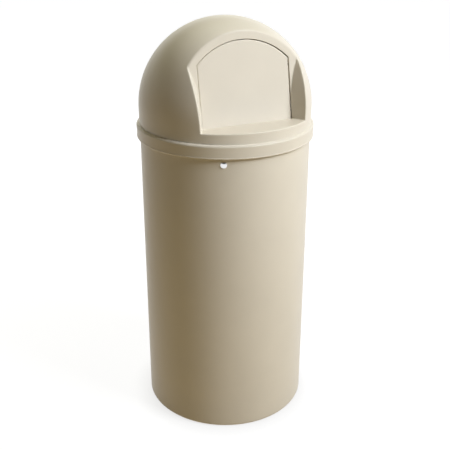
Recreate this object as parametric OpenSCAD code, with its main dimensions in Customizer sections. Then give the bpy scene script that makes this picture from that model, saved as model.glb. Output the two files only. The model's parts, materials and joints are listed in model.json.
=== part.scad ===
// Round trash can with a lift-off dome hood and an inward swinging push door.
// Millimetres, +Z up, origin at the centre of the foot, door towards -Y.
// Places on the leaning frame are given as x, depth behind its face and height up its slope.

/* [Tub] */
// Outer radius of the tub
tub_r = 219.5; // [190:0.5:260]
// Height of the tub, foot to rim
tub_h = 803; // [600:1:950]
// Wall of the tub
tub_wall = 4.5; // [3:0.1:6]
// Outer radius of the foot's rounded edge
foot_round = 10; // [8:0.5:16]
// Height of the dished base above the floor
base_lift = 8; // [4:0.5:15]
// Radius of the dish under the base
dish_r = 176; // [120:1:180]
// How far the rim is thickened inwards
rim_bead = 2; // [1:0.1:3]
// Height of the thickened rim
rim_bead_h = 14; // [8:0.5:20]

/* [Hood] */
// How far the dome's wall stands outside the tub's
dome_step = 1.5; // [0.5:0.1:3]
// Height of the hood's straight wall above the tub's rim
straight_h = 43; // [36:1:60]
// Wall of the hood
hood_wall = 4.5; // [3:0.1:6]
// Room between the tub's wall and the collar that hangs round it
collar_gap = 4.1; // [3.6:0.1:8]
// How far the collar hangs below the rim
collar_drop = 33; // [26:0.5:45]
// Wall of the collar
collar_wall = 5; // [3.5:0.1:6]
// Radius of the collar's rounded shoulder
shoulder_r = 8; // [5:0.5:10]
// Radius of the collar's curled lower lip
lip_r = 2.7; // [2.6:0.1:3.5]
// How far the collar's lip is wider below than above
collar_taper = 0.6; // [0:0.1:2]
// How far the inner skirt hangs below the rim
inner_skirt_drop = 27; // [20:0.5:30]
// Wall of the inner skirt
inner_skirt_wall = 4; // [3:0.1:5]
// Clearance between the inner skirt and the rim
skirt_clearance = 0.5; // [0.3:0.1:1]

/* [Recess] */
// Lean of the door's frame, backwards from upright
door_lean = 11.2; // [9:0.1:13]
// Depth of the ledge, from the dome's face to the door
ledge_depth = 83.5; // [78:0.5:88]
// Height of the ledge at the door, above the tub's rim
sill_h = 25.6; // [22:0.1:29]
// Fall of the ledge towards the door
ledge_fall = 1.8; // [1:0.1:5]
// How far the side walls stand inside the frame's arch, at the door's foot
side_inset = 57.2; // [55:0.1:61]
// Radius of the side walls' outward bow
side_bow_r = 350; // [300:10:600]
// Flare of the side walls towards the front
side_draft = 28.5; // [22:0.5:32]
// Wall behind the faces of the recess
frame_wall = 5; // [3.5:0.1:6]
// Depth of the flange turned down at the ledge's inner end
ledge_flange = 14; // [10:0.5:16]

/* [Door] */
// Room between the door's face and each side wall at its foot
side_room = 0.5; // [0.4:0.1:3]
// Height of the frame's band above the door
frame_band = 21.8; // [21.5:0.1:25]
// How much smaller the door's arch is than the frame's
arch_inset = 10; // [7:0.1:14]
// Gap round the door's face
door_gap = 1.5; // [1:0.1:3]
// How far the door reaches down behind the ledge
door_tuck = 8; // [5:0.5:9]
// Skin of the moulded door
door_skin = 4; // [3:0.1:5]
// Whole depth of the door panel
door_depth = 11.5; // [10:0.1:14]
// Thickness of the door's side flanges
side_flange_t = 4; // [3:0.1:5]
// Reach of the side flanges beyond the door's face
side_flange_w = 8; // [7:0.1:10]
// How far the side flanges end below the door's shoulders
side_flange_drop = 1.2; // [1:0.1:20]
// Thickness of the ribs behind the door
door_rib = 3; // [2:0.1:4]
// Gap between the door's face and what lies in front of it
face_gap = 0.4; // [0.3:0.1:1]

/* [Hinge] */
// Height of the hinge axis above the door's top, up the slope
hinge_rise = 11.5; // [11:0.1:13]
// Depth of the hinge axis behind the door's face
hinge_depth = 16.5; // [15.5:0.1:18]
// Radius of the hinge rod
rod_r = 3; // [2.5:0.1:3.5]
// Radial running clearance of the bushes on the rod
rod_clearance = 0.05; // [0.02:0.01:0.1]
// Half length of the hinge rod
rod_half = 52; // [50.5:0.5:56]
// Inner face of the door's ears, from the middle
ear_x = 14; // [10:0.5:15]
// Width of the door's ears
ear_w = 10; // [8:0.5:10]
// Outer radius of the door's ears
ear_r = 8; // [6.5:0.1:8.5]
// Wall of the hinge bushes
bush_wall = 1.45; // [1:0.05:2]
// Inner face of the bracket's lug, from the middle
lug_x = 44; // [43:0.5:46]
// Sheet thickness of the brackets
bracket_t = 2; // [1.5:0.1:2.5]
// Radius of the springs' wire
wire_r = 0.8; // [0.6:0.05:0.9]
// Mean radius of the springs' coil
coil_r = 5.2; // [4.8:0.1:5.5]
// Rise of the springs' coil for each turn
coil_pitch = 2.3; // [2.2:0.05:2.5]

/* [Hold-downs] */
// Height of the hold-down bolts below the rim
bolt_drop = 48; // [42:1:60]
// Turn of the first bolt from the door, towards the left
bolt_turn = 25.1; // [0:0.1:60]
// Radius of the bolts' domed heads
bolt_head_r = 8; // [6:0.1:10]
// Height of the bolts' domed heads
bolt_head_h = 3.6; // [2.5:0.1:5]
// Radius of the bolts' shanks
bolt_r = 3; // [2.5:0.1:4]
// Thickness of the hold-down leaves
leaf_t = 1.2; // [0.8:0.1:1.5]
// Width of the hold-down leaves
leaf_w = 20; // [14:0.5:22]

/* [Hidden] */

$fn = 96;
beige = [0.84, 0.80, 0.73];
steel = [0.62, 0.63, 0.65];
bright = [0.80, 0.81, 0.83];
brass = [0.74, 0.60, 0.32];
nylon = [0.90, 0.89, 0.84];
rubber = [0.16, 0.16, 0.17];

// Small overlap where solids of one piece are joined
bite = 0.5;
// Gap left where a piece lies against one that moves away from it
seat_gap = 0.3;
// How far a cut runs past what it cuts
past = 1;
// Sides of the large round forms
dome_sides = 192;
bow_sides = 360;

// Hood, from the tub that it covers
collar_r = tub_r + collar_gap + collar_wall;
dome_r = tub_r + dome_step;
// Longer than anything that is cut
far = 2 * collar_r;

// Tub
tub_in_r = tub_r - tub_wall;
rim_in_r = tub_in_r - rim_bead;
bolt_z = tub_h - bolt_drop;
bolt_angles = [for (i = [0:2]) -90 - bolt_turn + 120 * i];
bolt_neck = 2 * bolt_r;
neck_fit = 0.15;
neck_h = tub_wall - 1;

dome_z = tub_h + straight_h;
dome_in_r = dome_r - hood_wall;
skirt_in_r = collar_r - collar_wall;
collar_z = tub_h - collar_drop;
lip_mid_r = collar_r - collar_taper - lip_r;
shoulder_z = tub_h + hood_wall + bite - shoulder_r;
web_z = tub_h + hood_wall;
inner_skirt_r = rim_in_r - skirt_clearance;
inner_skirt_in_r = inner_skirt_r - inner_skirt_wall;

// Leaning frame: where the centre of the dome lies, behind its face and up its slope,
// and the circle in which the dome meets the face
sill_y = dome_r - ledge_depth;
sill_z = tub_h + sill_h;
dome_depth = sill_y * cos(door_lean) - (dome_z - sill_z) * sin(door_lean);
dome_up = sill_y * sin(door_lean) + (dome_z - sill_z) * cos(door_lean);
frame_arch_r = sqrt(pow(dome_r, 2) - pow(dome_depth, 2));
recess_half_w = frame_arch_r - side_inset;
bow_drop = 8;
bow_z = sill_z - bow_drop;

// Door
door_w = 2 * (recess_half_w - side_room);
door_rise = dome_up + frame_arch_r - frame_band;
door_arch_r = frame_arch_r - arch_inset;
door_arch_up = door_rise - door_arch_r;
side_flange_h = door_arch_up + sqrt(pow(door_arch_r, 2) - pow(door_w / 2, 2)) - side_flange_drop;
flange_depth = door_depth - side_flange_t;
bumper_x = door_w / 2 + side_flange_w / 2;
bumper_edge = 0.4;
bumper_head_r = side_flange_w / 2 - bumper_edge;
bumper_tail_r = bumper_head_r - 1;
bumper_stem_r = side_flange_w / 4;
bumper_low = 20;
bumper_drop = 16;
bumper_ups = [bumper_low, side_flange_h - bumper_drop];
bumper_fit = 0.05;
rib_columns = [-1, 0, 1];
rib_low = door_skin - door_tuck;
rib_drop = 17;
rib_bays = 3;
rib_step = (door_rise - rib_drop - rib_low) / rib_bays;
rib_rows = [for (i = [0:rib_bays]) rib_low + i * rib_step];

// Hinge
hinge_up = door_rise + hinge_rise;
hinge_y = -sill_y + hinge_up * sin(door_lean) + hinge_depth * cos(door_lean);
hinge_z = sill_z + hinge_up * cos(door_lean) - hinge_depth * sin(door_lean);
echo(hinge_axis_y = hinge_y, hinge_axis_z = hinge_z);
bush_bore_r = rod_r + rod_clearance;
bush_r = bush_bore_r + bush_wall;
bush_fit = 0.02;
ear_margin = 1;
bush_flange_r = ear_r - ear_margin;
bush_flange_t = 1.2;
pad_t = 3.5;
pad_margin = 2;
plate_depth = frame_wall + pad_t;
plate_w = 22;
pad_w = plate_w + 2 * pad_margin;
pad_x = lug_x + plate_w / 2;
plate_h = 11;
plate_drop = 2;
plate_low = door_rise - plate_drop;
lug_r = 6.5;
screw_r = 2;
screw_head_r = 3.8;
screw_head_h = 2.4;
screw_up = plate_low + plate_h / 2;
screw_near = 7;
screw_apart = 10;
screw_xs = [lug_x + screw_near, lug_x + screw_near + screw_apart];
insert_wall = 0.9;
insert_fit = 0.05;
insert_low = 2;
clip_r = 5;
clip_t = 1.5;

// Springs: anchor hole in the bracket, foot on the door's back, both up the frame's slope
anchor_back = 8;
anchor_fall = 6;
anchor_depth = hinge_depth + anchor_back;
anchor_up = hinge_up - anchor_fall;
anchor_r = 3.5;
anchor_hole_r = wire_r + seat_gap;
foot_depth = door_depth + wire_r + seat_gap;
foot_reach = 31;
foot_up = hinge_up - foot_reach;
coil_turns = 5;
coil_room = 1;
coil_x = ear_x + ear_w + bush_flange_t + wire_r + coil_room;
ring_sides = 6;
rings_a_turn = 8;

// Leaves
leaf_seat = 0.1;
leaf_face_r = sqrt(pow(tub_in_r, 2) - pow(leaf_w / 2, 2)) - leaf_seat;
leaf_nose_r = sqrt(pow(inner_skirt_in_r - seat_gap, 2) - pow(leaf_w / 2, 2));
nose_depth = 3;
leaf_back_r = leaf_nose_r - nose_depth;
nose_z = tub_h - inner_skirt_drop / 2;
// Heights of the leaf's bends, from the bolt and from the middle of its nose
leaf_foot = 12;
leaf_bend = 11;
leaf_step = 20;
nose_start = 10;
nose_flat = 3;
leaf_tip = 11;
washer_r = 6.2;
washer_t = 1.2;
nut_r = 5.7;
nut_h = 5;
hex_sides = 6;
nut_fit = 0.05;
shank_end = 1;

// Puts children on the leaning frame: x, depth behind the face, height up the slope
module on_frame() {
    translate([0, -sill_y, sill_z]) rotate([-door_lean, 0, 0]) children();
}

// Extrudes an outline drawn as x and height, between two depths behind the frame's face
module frame_slab(front, back) {
    on_frame() translate([0, back, 0]) rotate([90, 0, 0]) linear_extrude(back - front) children();
}

// Extrudes an outline drawn as depth and height along the hinge's direction, from x0 for w
module hinge_slab(x0, w) {
    on_frame() translate([x0, 0, 0]) rotate([90, 0, 90]) linear_extrude(w) children();
}

// A round bar or hole along the hinge axis
module on_hinge(x0, w, r) {
    on_frame() translate([x0, hinge_depth, hinge_up]) rotate([0, 90, 0]) cylinder(r = r, h = w);
}

// A round bar or hole square to the frame
module into_frame(x, up, front, back, r) {
    on_frame() translate([x, back, up]) rotate([90, 0, 0]) cylinder(r = r, h = back - front);
}

// Children at each hold-down bolt, with X pointing outwards and Z up
module at_bolts() {
    for (a = bolt_angles) rotate([0, 0, a]) translate([0, 0, bolt_z]) children();
}

// A washer or ring as a tube
module tube(outer, inner, h) {
    difference() {
        cylinder(r = outer, h = h);
        translate([0, 0, -past]) cylinder(r = inner, h = h + 2 * past);
    }
}

// Tub outline, right half, as radius and height
module tub_outline() {
    inner_round = foot_round - tub_wall;
    bead_z = tub_h - rim_bead_h;
    difference() {
        union() {
            translate([0, foot_round]) square([tub_r, tub_h - foot_round]);
            square([tub_r - foot_round, foot_round + bite]);
            intersection() {
                translate([tub_r - foot_round, foot_round]) circle(foot_round);
                translate([tub_r - foot_round, 0]) square(foot_round);
            }
        }
        // Inside, with a rounded corner above the foot
        difference() {
            translate([-past, tub_wall]) square([tub_in_r + past, tub_h]);
            difference() {
                translate([tub_in_r - inner_round, 0]) square([far, tub_wall + inner_round]);
                translate([tub_in_r - inner_round, tub_wall + inner_round]) circle(inner_round);
            }
            polygon([
                [-2 * past, 0],
                [dish_r + tub_wall / 2, 0],
                [dish_r + tub_wall / 2, tub_wall],
                [dish_r - base_lift + tub_wall / 2, base_lift + tub_wall],
                [-2 * past, base_lift + tub_wall]
            ]);
            polygon([
                [tub_in_r + past, bead_z - rim_bead],
                [tub_in_r, bead_z - rim_bead],
                [rim_in_r, bead_z],
                [rim_in_r, tub_h + tub_wall + past],
                [tub_in_r + past, tub_h + tub_wall + past]
            ]);
        }
        // Dish under the base
        polygon([
            [-past, -past],
            [dish_r + past, -past],
            [dish_r - base_lift, base_lift],
            [-past, base_lift]
        ]);
    }
}

module container_body() {
    color(beige) difference() {
        rotate_extrude() tub_outline();
        // Square holes that keep the bolts from turning
        at_bolts() translate([tub_in_r, 0, 0])
            cube([4 * tub_wall, bolt_neck + 2 * neck_fit, bolt_neck + 2 * neck_fit], center = true);
    }
}

// Dome and straight wall as a solid outline of the given radius
module dome_outline(r) {
    intersection() {
        translate([0, dome_z]) circle(r, $fn = dome_sides);
        translate([0, dome_z]) square(far);
    }
    translate([0, web_z]) square([r, straight_h - hood_wall]);
}

// Collar, web and inner skirt, the channel that sits over the tub's rim
module collar_outline() {
    difference() {
        union() {
            polygon([
                [skirt_in_r, collar_z + lip_r],
                [lip_mid_r + lip_r, collar_z + lip_r],
                [collar_r, shoulder_z],
                [skirt_in_r - bite, shoulder_z],
                [skirt_in_r - bite, collar_z + 2 * lip_r]
            ]);
            translate([collar_r - shoulder_r, shoulder_z]) circle(shoulder_r);
            translate([inner_skirt_in_r, tub_h])
                square([collar_r - shoulder_r - inner_skirt_in_r, shoulder_z + shoulder_r - tub_h]);
            translate([inner_skirt_in_r, tub_h - inner_skirt_drop])
                square([inner_skirt_wall, inner_skirt_drop + bite]);
        }
        translate([inner_skirt_r, 0]) square([skirt_in_r - inner_skirt_r, tub_h]);
    }
    translate([lip_mid_r, collar_z + lip_r]) circle(lip_r);
}

module hood_outline() {
    difference() {
        dome_outline(dome_r);
        translate([0, -bite]) dome_outline(dome_in_r);
        translate([-past, 0]) square([dome_in_r + past, dome_z]);
    }
    difference() {
        collar_outline();
        translate([0, web_z]) square([dome_in_r, far]);
    }
}

// The space in front of the frame, between the side walls and above the ledge.
// grow moves each face outwards, for the wall behind it.
module recess_space(grow) {
    bow_x = recess_half_w + side_bow_r / cos(side_draft);
    difference() {
        intersection() {
            on_frame() translate([-far, grow - 2 * far, -far]) cube([2 * far, 2 * far, 2 * far]);
            translate([0, -sill_y, sill_z]) rotate([-ledge_fall, 0, 0])
                translate([-far, -far, -grow]) cube([2 * far, 2 * far, far]);
        }
        for (side = [-1, 1]) translate([side * bow_x, -sill_y, bow_z]) rotate([0, 0, side * side_draft])
            rotate([90, 0, 0]) cylinder(r = side_bow_r - grow, h = 2 * far, center = true, $fn = bow_sides);
    }
}

// Outline of the door's face as x and height, from a low edge up to its arch
module door_outline(grow, low) {
    intersection() {
        translate([0, door_arch_up]) circle(door_arch_r + grow, $fn = dome_sides);
        translate([-door_w / 2 - grow, low]) square([door_w + 2 * grow, far]);
    }
}

module dome_hood() {
    color(beige) difference() {
        union() {
            rotate_extrude() hood_outline();
            intersection() {
                rotate_extrude() dome_outline(dome_r - hood_wall / 2);
                recess_space(frame_wall);
            }
            // Flange turned down at the ledge's inner end
            frame_slab(-face_gap - frame_wall, -face_gap)
                translate([-door_w / 2, -ledge_flange]) square([door_w, ledge_flange - frame_wall / 2]);
            // Pads behind the frame for the hinge brackets
            for (side = [-1, 1]) frame_slab(frame_wall - bite, plate_depth)
                translate([side * pad_x - pad_w / 2, plate_low - pad_margin / 2])
                    square([pad_w, plate_h + pad_margin]);
        }
        recess_space(0);
        frame_slab(-face_gap, 3 * frame_wall) door_outline(door_gap, -door_tuck - door_gap);
        for (side = [-1, 1], x = screw_xs)
            into_frame(side * x, screw_up, insert_low, plate_depth + past,
                screw_r + insert_wall + 2 * insert_fit);
    }
}

// Ear of the door, as depth and height
module ear_outline() {
    translate([hinge_depth, hinge_up]) circle(ear_r);
    polygon([
        [hinge_depth - ear_r, hinge_up],
        [hinge_depth + ear_r, hinge_up],
        [hinge_depth + ear_r, hinge_up - ear_r],
        [door_depth, hinge_up - 4 * ear_r],
        [door_skin, hinge_up - 4 * ear_r],
        [door_skin, door_rise - door_skin],
        [hinge_depth - ear_r, door_rise]
    ]);
}

// Pockets between the ribs behind the door
module door_pockets() {
    cell = (door_w - 2 * door_skin) / len(rib_columns);
    frame_slab(door_skin, door_depth + past) intersection() {
        door_outline(-door_skin, -door_tuck + door_skin);
        for (c = rib_columns, r = [0:len(rib_rows) - 2])
            translate([c * cell - (cell - door_rib) / 2, rib_rows[r]])
                square([cell - door_rib, rib_rows[r + 1] - rib_rows[r] - door_rib]);
    }
}

module push_door() {
    color(beige) difference() {
        union() {
            difference() {
                union() {
                    frame_slab(0, door_depth) door_outline(0, -door_tuck);
                    frame_slab(flange_depth, door_depth)
                        translate([-door_w / 2 - side_flange_w, -door_tuck])
                            square([door_w + 2 * side_flange_w, side_flange_h + door_tuck]);
                }
                door_pockets();
            }
            for (side = [-1, 1]) hinge_slab(side > 0 ? ear_x : -ear_x - ear_w, ear_w) ear_outline();
        }
        for (side = [-1, 1])
            on_hinge((side > 0 ? ear_x : -ear_x - ear_w) - past, ear_w + 2 * past, bush_r + bush_fit);
        for (side = [-1, 1], up = bumper_ups)
            into_frame(side * bumper_x, up, flange_depth - past, door_depth + past,
                bumper_stem_r + bumper_fit);
    }
}

// Bracket: a plate screwed to the pad and a lug that holds the rod and the spring's end
module hinge_bracket(side) {
    color(steel) difference() {
        union() {
            frame_slab(plate_depth, plate_depth + bracket_t)
                translate([side > 0 ? lug_x : -lug_x - plate_w, plate_low]) square([plate_w, plate_h]);
            hinge_slab(side > 0 ? lug_x : -lug_x - bracket_t, bracket_t) {
                translate([hinge_depth, hinge_up]) circle(lug_r);
                translate([anchor_depth, anchor_up]) circle(anchor_r);
                polygon([
                    [plate_depth, plate_low],
                    [hinge_depth, plate_low],
                    [anchor_depth, anchor_up - anchor_r],
                    [anchor_depth + anchor_r, anchor_up],
                    [hinge_depth + lug_r, hinge_up],
                    [hinge_depth - lug_r, hinge_up],
                    [plate_depth, plate_low + plate_h]
                ]);
            }
        }
        on_hinge(side * (lug_x + bracket_t / 2) - bracket_t, 2 * bracket_t, rod_r + rod_clearance);
        on_frame() translate([side * (lug_x + bracket_t / 2) - bracket_t, anchor_depth, anchor_up])
            rotate([0, 90, 0]) cylinder(r = anchor_hole_r, h = 2 * bracket_t);
        for (x = screw_xs)
            into_frame(side * x, screw_up, plate_depth - past, plate_depth + bracket_t + past,
                screw_r + 2 * insert_fit);
    }
}

module hinge_bracket_left() { hinge_bracket(-1); }

module hinge_bracket_right() { hinge_bracket(1); }

module bracket_screws() {
    back = plate_depth + bracket_t;
    color(bright) for (side = [-1, 1], x = screw_xs) {
        into_frame(side * x, screw_up, insert_low + bite, back + bite, screw_r);
        on_frame() translate([side * x, back + screw_head_h, screw_up]) rotate([90, 0, 0])
            difference() {
                cylinder(r = screw_head_r, h = screw_head_h);
                // Cross recess for the driver
                for (turn = [0, 90]) rotate([0, 0, turn])
                    cube([2 * screw_r, screw_r / 2, screw_head_h], center = true);
            }
    }
}

module threaded_inserts() {
    color(brass) for (side = [-1, 1], x = screw_xs)
        on_frame() translate([side * x, plate_depth, screw_up]) rotate([90, 0, 0])
            tube(screw_r + insert_wall, screw_r + insert_fit, plate_depth - insert_low);
}

module hinge_rod() {
    color(bright) on_hinge(-rod_half, 2 * rod_half, rod_r);
}

// Push-on clips outside the bracket lugs
module rod_clips() {
    color(steel) for (side = [-1, 1])
        on_frame() translate([side * (lug_x + bracket_t + seat_gap), hinge_depth, hinge_up])
            rotate([0, side * 90, 0]) tube(clip_r, rod_r + rod_clearance / 2, clip_t);
}

// Flanged bush pressed into a door ear
module hinge_bush(side) {
    color(nylon) on_frame() translate([side * ear_x, hinge_depth, hinge_up]) rotate([0, side * 90, 0])
        difference() {
            union() {
                cylinder(r = bush_r, h = ear_w + bush_flange_t);
                translate([0, 0, ear_w]) cylinder(r = bush_flange_r, h = bush_flange_t);
            }
            translate([0, 0, -past]) cylinder(r = bush_bore_r, h = ear_w + bush_flange_t + 2 * past);
        }
}

module hinge_bush_left() { hinge_bush(-1); }

module hinge_bush_right() { hinge_bush(1); }

// Tube swept along points: each ring is carried on from the one before without twist
function unit(v) = v / norm(v);
function carried(u, t) = unit(u - (u * t) * t);
function tangents(p) = [for (i = [0:len(p) - 1]) unit(p[min(i + 1, len(p) - 1)] - p[max(i - 1, 0)])];
function frames(t, first) = [for (i = 0, u = carried(first, t[0]); i < len(t);
    i = i + 1, u = i < len(t) ? carried(u, t[i]) : u) u];
function least_gap(p, r, apart) = min([for (i = [0:len(p) - 1], j = [i + apart:1:len(p) - 1])
    norm(p[i] - p[j])]) - 2 * r;

module swept_tube(p, r, first) {
    t = tangents(p);
    u = frames(t, first);
    n = len(p);
    points = [for (i = [0:n - 1], k = [0:ring_sides - 1])
        p[i] + r * (cos(360 * k / ring_sides) * u[i] + sin(360 * k / ring_sides) * cross(t[i], u[i]))];
    sides = [for (i = [0:n - 2], k = [0:ring_sides - 1], half = [0, 1])
        let (a = i * ring_sides + k, b = i * ring_sides + (k + 1) % ring_sides)
        half == 0 ? [a, a + ring_sides, b + ring_sides] : [a, b + ring_sides, b]];
    ends = [[for (k = [0:ring_sides - 1]) k], [for (k = [ring_sides - 1:-1:0]) (n - 1) * ring_sides + k]];
    polyhedron(points = points, faces = concat(sides, ends), convexity = 8);
}

// Right-hand spring, as x, depth and height: a foot on the door's back, the coil round the rod,
// and an end bent into the bracket's anchor hole
function on_coil(turn, x) = [x, hinge_depth + coil_r * cos(turn), hinge_up + coil_r * sin(turn)];
foot_line = [foot_depth - hinge_depth, foot_up - hinge_up];
foot_turn = atan2(foot_line[1], foot_line[0]) + acos(coil_r / norm(foot_line));
anchor_line = [anchor_depth - hinge_depth, anchor_up - hinge_up];
anchor_turn = atan2(anchor_line[1], anchor_line[0]) - acos(coil_r / norm(anchor_line));
wound = anchor_turn - foot_turn + 360 * ceil((foot_turn - anchor_turn) / 360) + 360 * coil_turns;
coil_rings = ceil(wound / 360 * rings_a_turn);
coil_end_x = coil_x + wound / 360 * coil_pitch;
bend_r = 2;
bend_step = 30;
spring_points = concat(
    [[coil_x, foot_depth, foot_up], [coil_x, foot_depth, foot_up] + 2 * wire_r
        * unit(on_coil(foot_turn, coil_x) - [coil_x, foot_depth, foot_up])],
    [for (i = [0:coil_rings]) on_coil(foot_turn + wound * i / coil_rings,
        coil_x + (coil_end_x - coil_x) * i / coil_rings)],
    [for (a = [0:bend_step:90]) [coil_end_x + bend_r * (1 - cos(a)), anchor_depth, anchor_up]
        - bend_r * (1 - sin(a)) * unit([0, anchor_depth, anchor_up] - on_coil(anchor_turn, 0))],
    [[lug_x + bracket_t + 2 * wire_r, anchor_depth, anchor_up]]
);
echo(spring_least_gap = least_gap(spring_points, wire_r, rings_a_turn - 2));

module torsion_spring(side) {
    color(steel) mirror([side > 0 ? 0 : 1, 0, 0]) on_frame()
        swept_tube(spring_points, wire_r, [1, 0, 0]);
}

module torsion_spring_left() { torsion_spring(-1); }

module torsion_spring_right() { torsion_spring(1); }

// Rubber buttons through the side flanges, which meet the back of the frame
module door_bumpers() {
    head_t = flange_depth - frame_wall - seat_gap;
    color(rubber) for (side = [-1, 1], up = bumper_ups) {
        into_frame(side * bumper_x, up, flange_depth - head_t, flange_depth, bumper_head_r);
        into_frame(side * bumper_x, up, flange_depth - bite, door_depth + bite, bumper_stem_r);
        into_frame(side * bumper_x, up, door_depth, door_depth + head_t, bumper_tail_r);
    }
}

// Leaf: flat on the tub's wall at the bolt, stepped inwards, with a nose that grips the inner skirt
module hold_down_leaf(i) {
    face = [
        [leaf_face_r, bolt_z - leaf_foot],
        [leaf_face_r, bolt_z + leaf_bend],
        [leaf_back_r, bolt_z + leaf_step],
        [leaf_back_r, nose_z - nose_start],
        [leaf_nose_r, nose_z - nose_flat],
        [leaf_nose_r, nose_z + nose_flat],
        [leaf_back_r - leaf_t, nose_z + leaf_tip]
    ];
    back = [for (p = face) [p[0] - leaf_t, p[1]]];
    color(steel) rotate([0, 0, bolt_angles[i]]) difference() {
        translate([0, leaf_w / 2, 0]) rotate([90, 0, 0]) linear_extrude(leaf_w)
            polygon(concat(face, [for (k = [len(back) - 1:-1:0]) back[k]]));
        translate([0, 0, bolt_z]) rotate([0, 90, 0]) cylinder(r = bolt_r + 2 * neck_fit, h = far);
    }
}

module hold_down_leaf_front() { hold_down_leaf(0); }

module hold_down_leaf_right() { hold_down_leaf(1); }

module hold_down_leaf_rear() { hold_down_leaf(2); }

// Domed head outside, square neck in the wall, round shank inside
module hold_down_bolts() {
    ball_r = (pow(bolt_head_r, 2) + pow(bolt_head_h, 2)) / (2 * bolt_head_h);
    shank = tub_r - leaf_face_r + leaf_t + washer_t + nut_h + shank_end;
    color(bright) at_bolts() translate([tub_r, 0, 0]) rotate([0, 90, 0]) {
        intersection() {
            translate([0, 0, bolt_head_h - ball_r]) sphere(ball_r);
            cylinder(r = bolt_head_r + past, h = 2 * bolt_head_h);
        }
        translate([-bolt_neck / 2, -bolt_neck / 2, -neck_h])
            cube([bolt_neck, bolt_neck, neck_h + bite]);
        translate([0, 0, -shank]) cylinder(r = bolt_r, h = shank);
    }
}

module hold_down_washers() {
    color(bright) at_bolts() translate([leaf_face_r - leaf_t - washer_t, 0, 0]) rotate([0, 90, 0])
        tube(washer_r, bolt_r + neck_fit, washer_t);
}

module hold_down_nuts() {
    color(bright) at_bolts() translate([leaf_face_r - leaf_t - washer_t - nut_h, 0, 0]) rotate([0, 90, 0])
        difference() {
            cylinder(r = nut_r, h = nut_h, $fn = hex_sides);
            translate([0, 0, -past]) cylinder(r = bolt_r + nut_fit, h = nut_h + 2 * past);
        }
}

container_body();
hold_down_leaf_front();
hold_down_leaf_right();
hold_down_leaf_rear();
hold_down_bolts();
hold_down_washers();
hold_down_nuts();
dome_hood();
push_door();
hinge_bracket_left();
hinge_bracket_right();
bracket_screws();
threaded_inserts();
hinge_rod();
rod_clips();
hinge_bush_left();
hinge_bush_right();
torsion_spring_left();
torsion_spring_right();
door_bumpers();
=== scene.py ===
"""Looks of a round trash can with a lift-off dome hood and a push door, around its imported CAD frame.

Shapes are worked out in millimetres in the row frame and written to meshes in metres.
"""
import json
import math

import bpy
import numpy as np
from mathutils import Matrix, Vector


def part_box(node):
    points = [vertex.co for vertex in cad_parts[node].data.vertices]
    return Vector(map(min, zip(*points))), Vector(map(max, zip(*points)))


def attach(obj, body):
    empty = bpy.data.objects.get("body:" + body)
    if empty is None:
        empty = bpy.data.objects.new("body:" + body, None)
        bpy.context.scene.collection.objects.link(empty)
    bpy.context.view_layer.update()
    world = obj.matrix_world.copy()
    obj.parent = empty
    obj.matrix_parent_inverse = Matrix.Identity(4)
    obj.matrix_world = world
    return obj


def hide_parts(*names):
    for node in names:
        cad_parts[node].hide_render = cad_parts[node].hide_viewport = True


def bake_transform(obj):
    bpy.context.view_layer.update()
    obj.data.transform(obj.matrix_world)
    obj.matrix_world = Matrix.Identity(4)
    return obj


MM = 0.001
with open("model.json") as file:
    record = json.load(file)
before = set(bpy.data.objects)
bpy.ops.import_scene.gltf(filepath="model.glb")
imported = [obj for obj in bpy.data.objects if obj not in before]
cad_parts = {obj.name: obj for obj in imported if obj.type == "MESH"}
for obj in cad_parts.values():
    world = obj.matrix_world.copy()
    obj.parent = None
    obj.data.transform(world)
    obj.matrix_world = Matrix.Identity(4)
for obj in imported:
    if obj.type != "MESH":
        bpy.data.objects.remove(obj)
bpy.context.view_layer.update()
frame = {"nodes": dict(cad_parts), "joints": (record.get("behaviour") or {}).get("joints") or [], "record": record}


def box_mm(node):
    """Lowest and highest corner of a CAD node, in millimetres."""
    low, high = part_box(node)
    return np.array(low) / MM, np.array(high) / MM


# Driving sizes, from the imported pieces
TUB_R, TUB_H = box_mm("container_body")[1][[0, 2]]
COLLAR_Z = box_mm("dome_hood")[0][2]
BOX_MARGIN = 0.02
COLLAR_R, TOP_Z = box_mm("dome_hood")[1][1:] - (BOX_MARGIN, 0)
HINGE = next(j for j in frame["joints"] if j["name"] == "door_swing")
HINGE_Y, HINGE_Z = (v / MM for v in HINGE["pos_m"][1:])

# Hinge sides, radius at which turned small parts close on their axis, and reach that joins carved points
SIDES = ((-1, "left"), (1, "right"))
AXIS_R = 0.05
WELD_REACH = 0.003

# Tub, in millimetres
TUB_WALL = 4.5
FOOT_ROUND = 10
DISH_R = 176
BASE_LIFT = 8
RIM_BEAD = 2
RIM_BEAD_H = 14
TUB_AXIS_R = 0.5
RIM_WEAR = 4
FOOT_WEAR = 8
TUB_IN_R = TUB_R - TUB_WALL
RIM_IN_R = TUB_IN_R - RIM_BEAD

# Hood
DOME_STEP = 1.5
HOOD_WALL = 4.5
COLLAR_WALL = 5
SHOULDER_R = 5
LIP_R = 2.7
LIP_IN = 0.3
SKIRT_DROP = 27
SKIRT_WALL = 4
SKIRT_CLEAR = 0.5
DOME_R = TUB_R + DOME_STEP
DOME_Z = TOP_Z - DOME_R
DOME_IN_R = DOME_R - HOOD_WALL
SHOULDER_Z = TUB_H - 4
SHOULDER_TOP_Z = TUB_H + 2
WEB_Z = TUB_H + HOOD_WALL
COLLAR_IN_R = COLLAR_R - COLLAR_WALL
LIP_MID_R = COLLAR_R - LIP_IN - LIP_R
SKIRT_R = RIM_IN_R - SKIRT_CLEAR
SKIRT_IN_R = SKIRT_R - SKIRT_WALL

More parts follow.
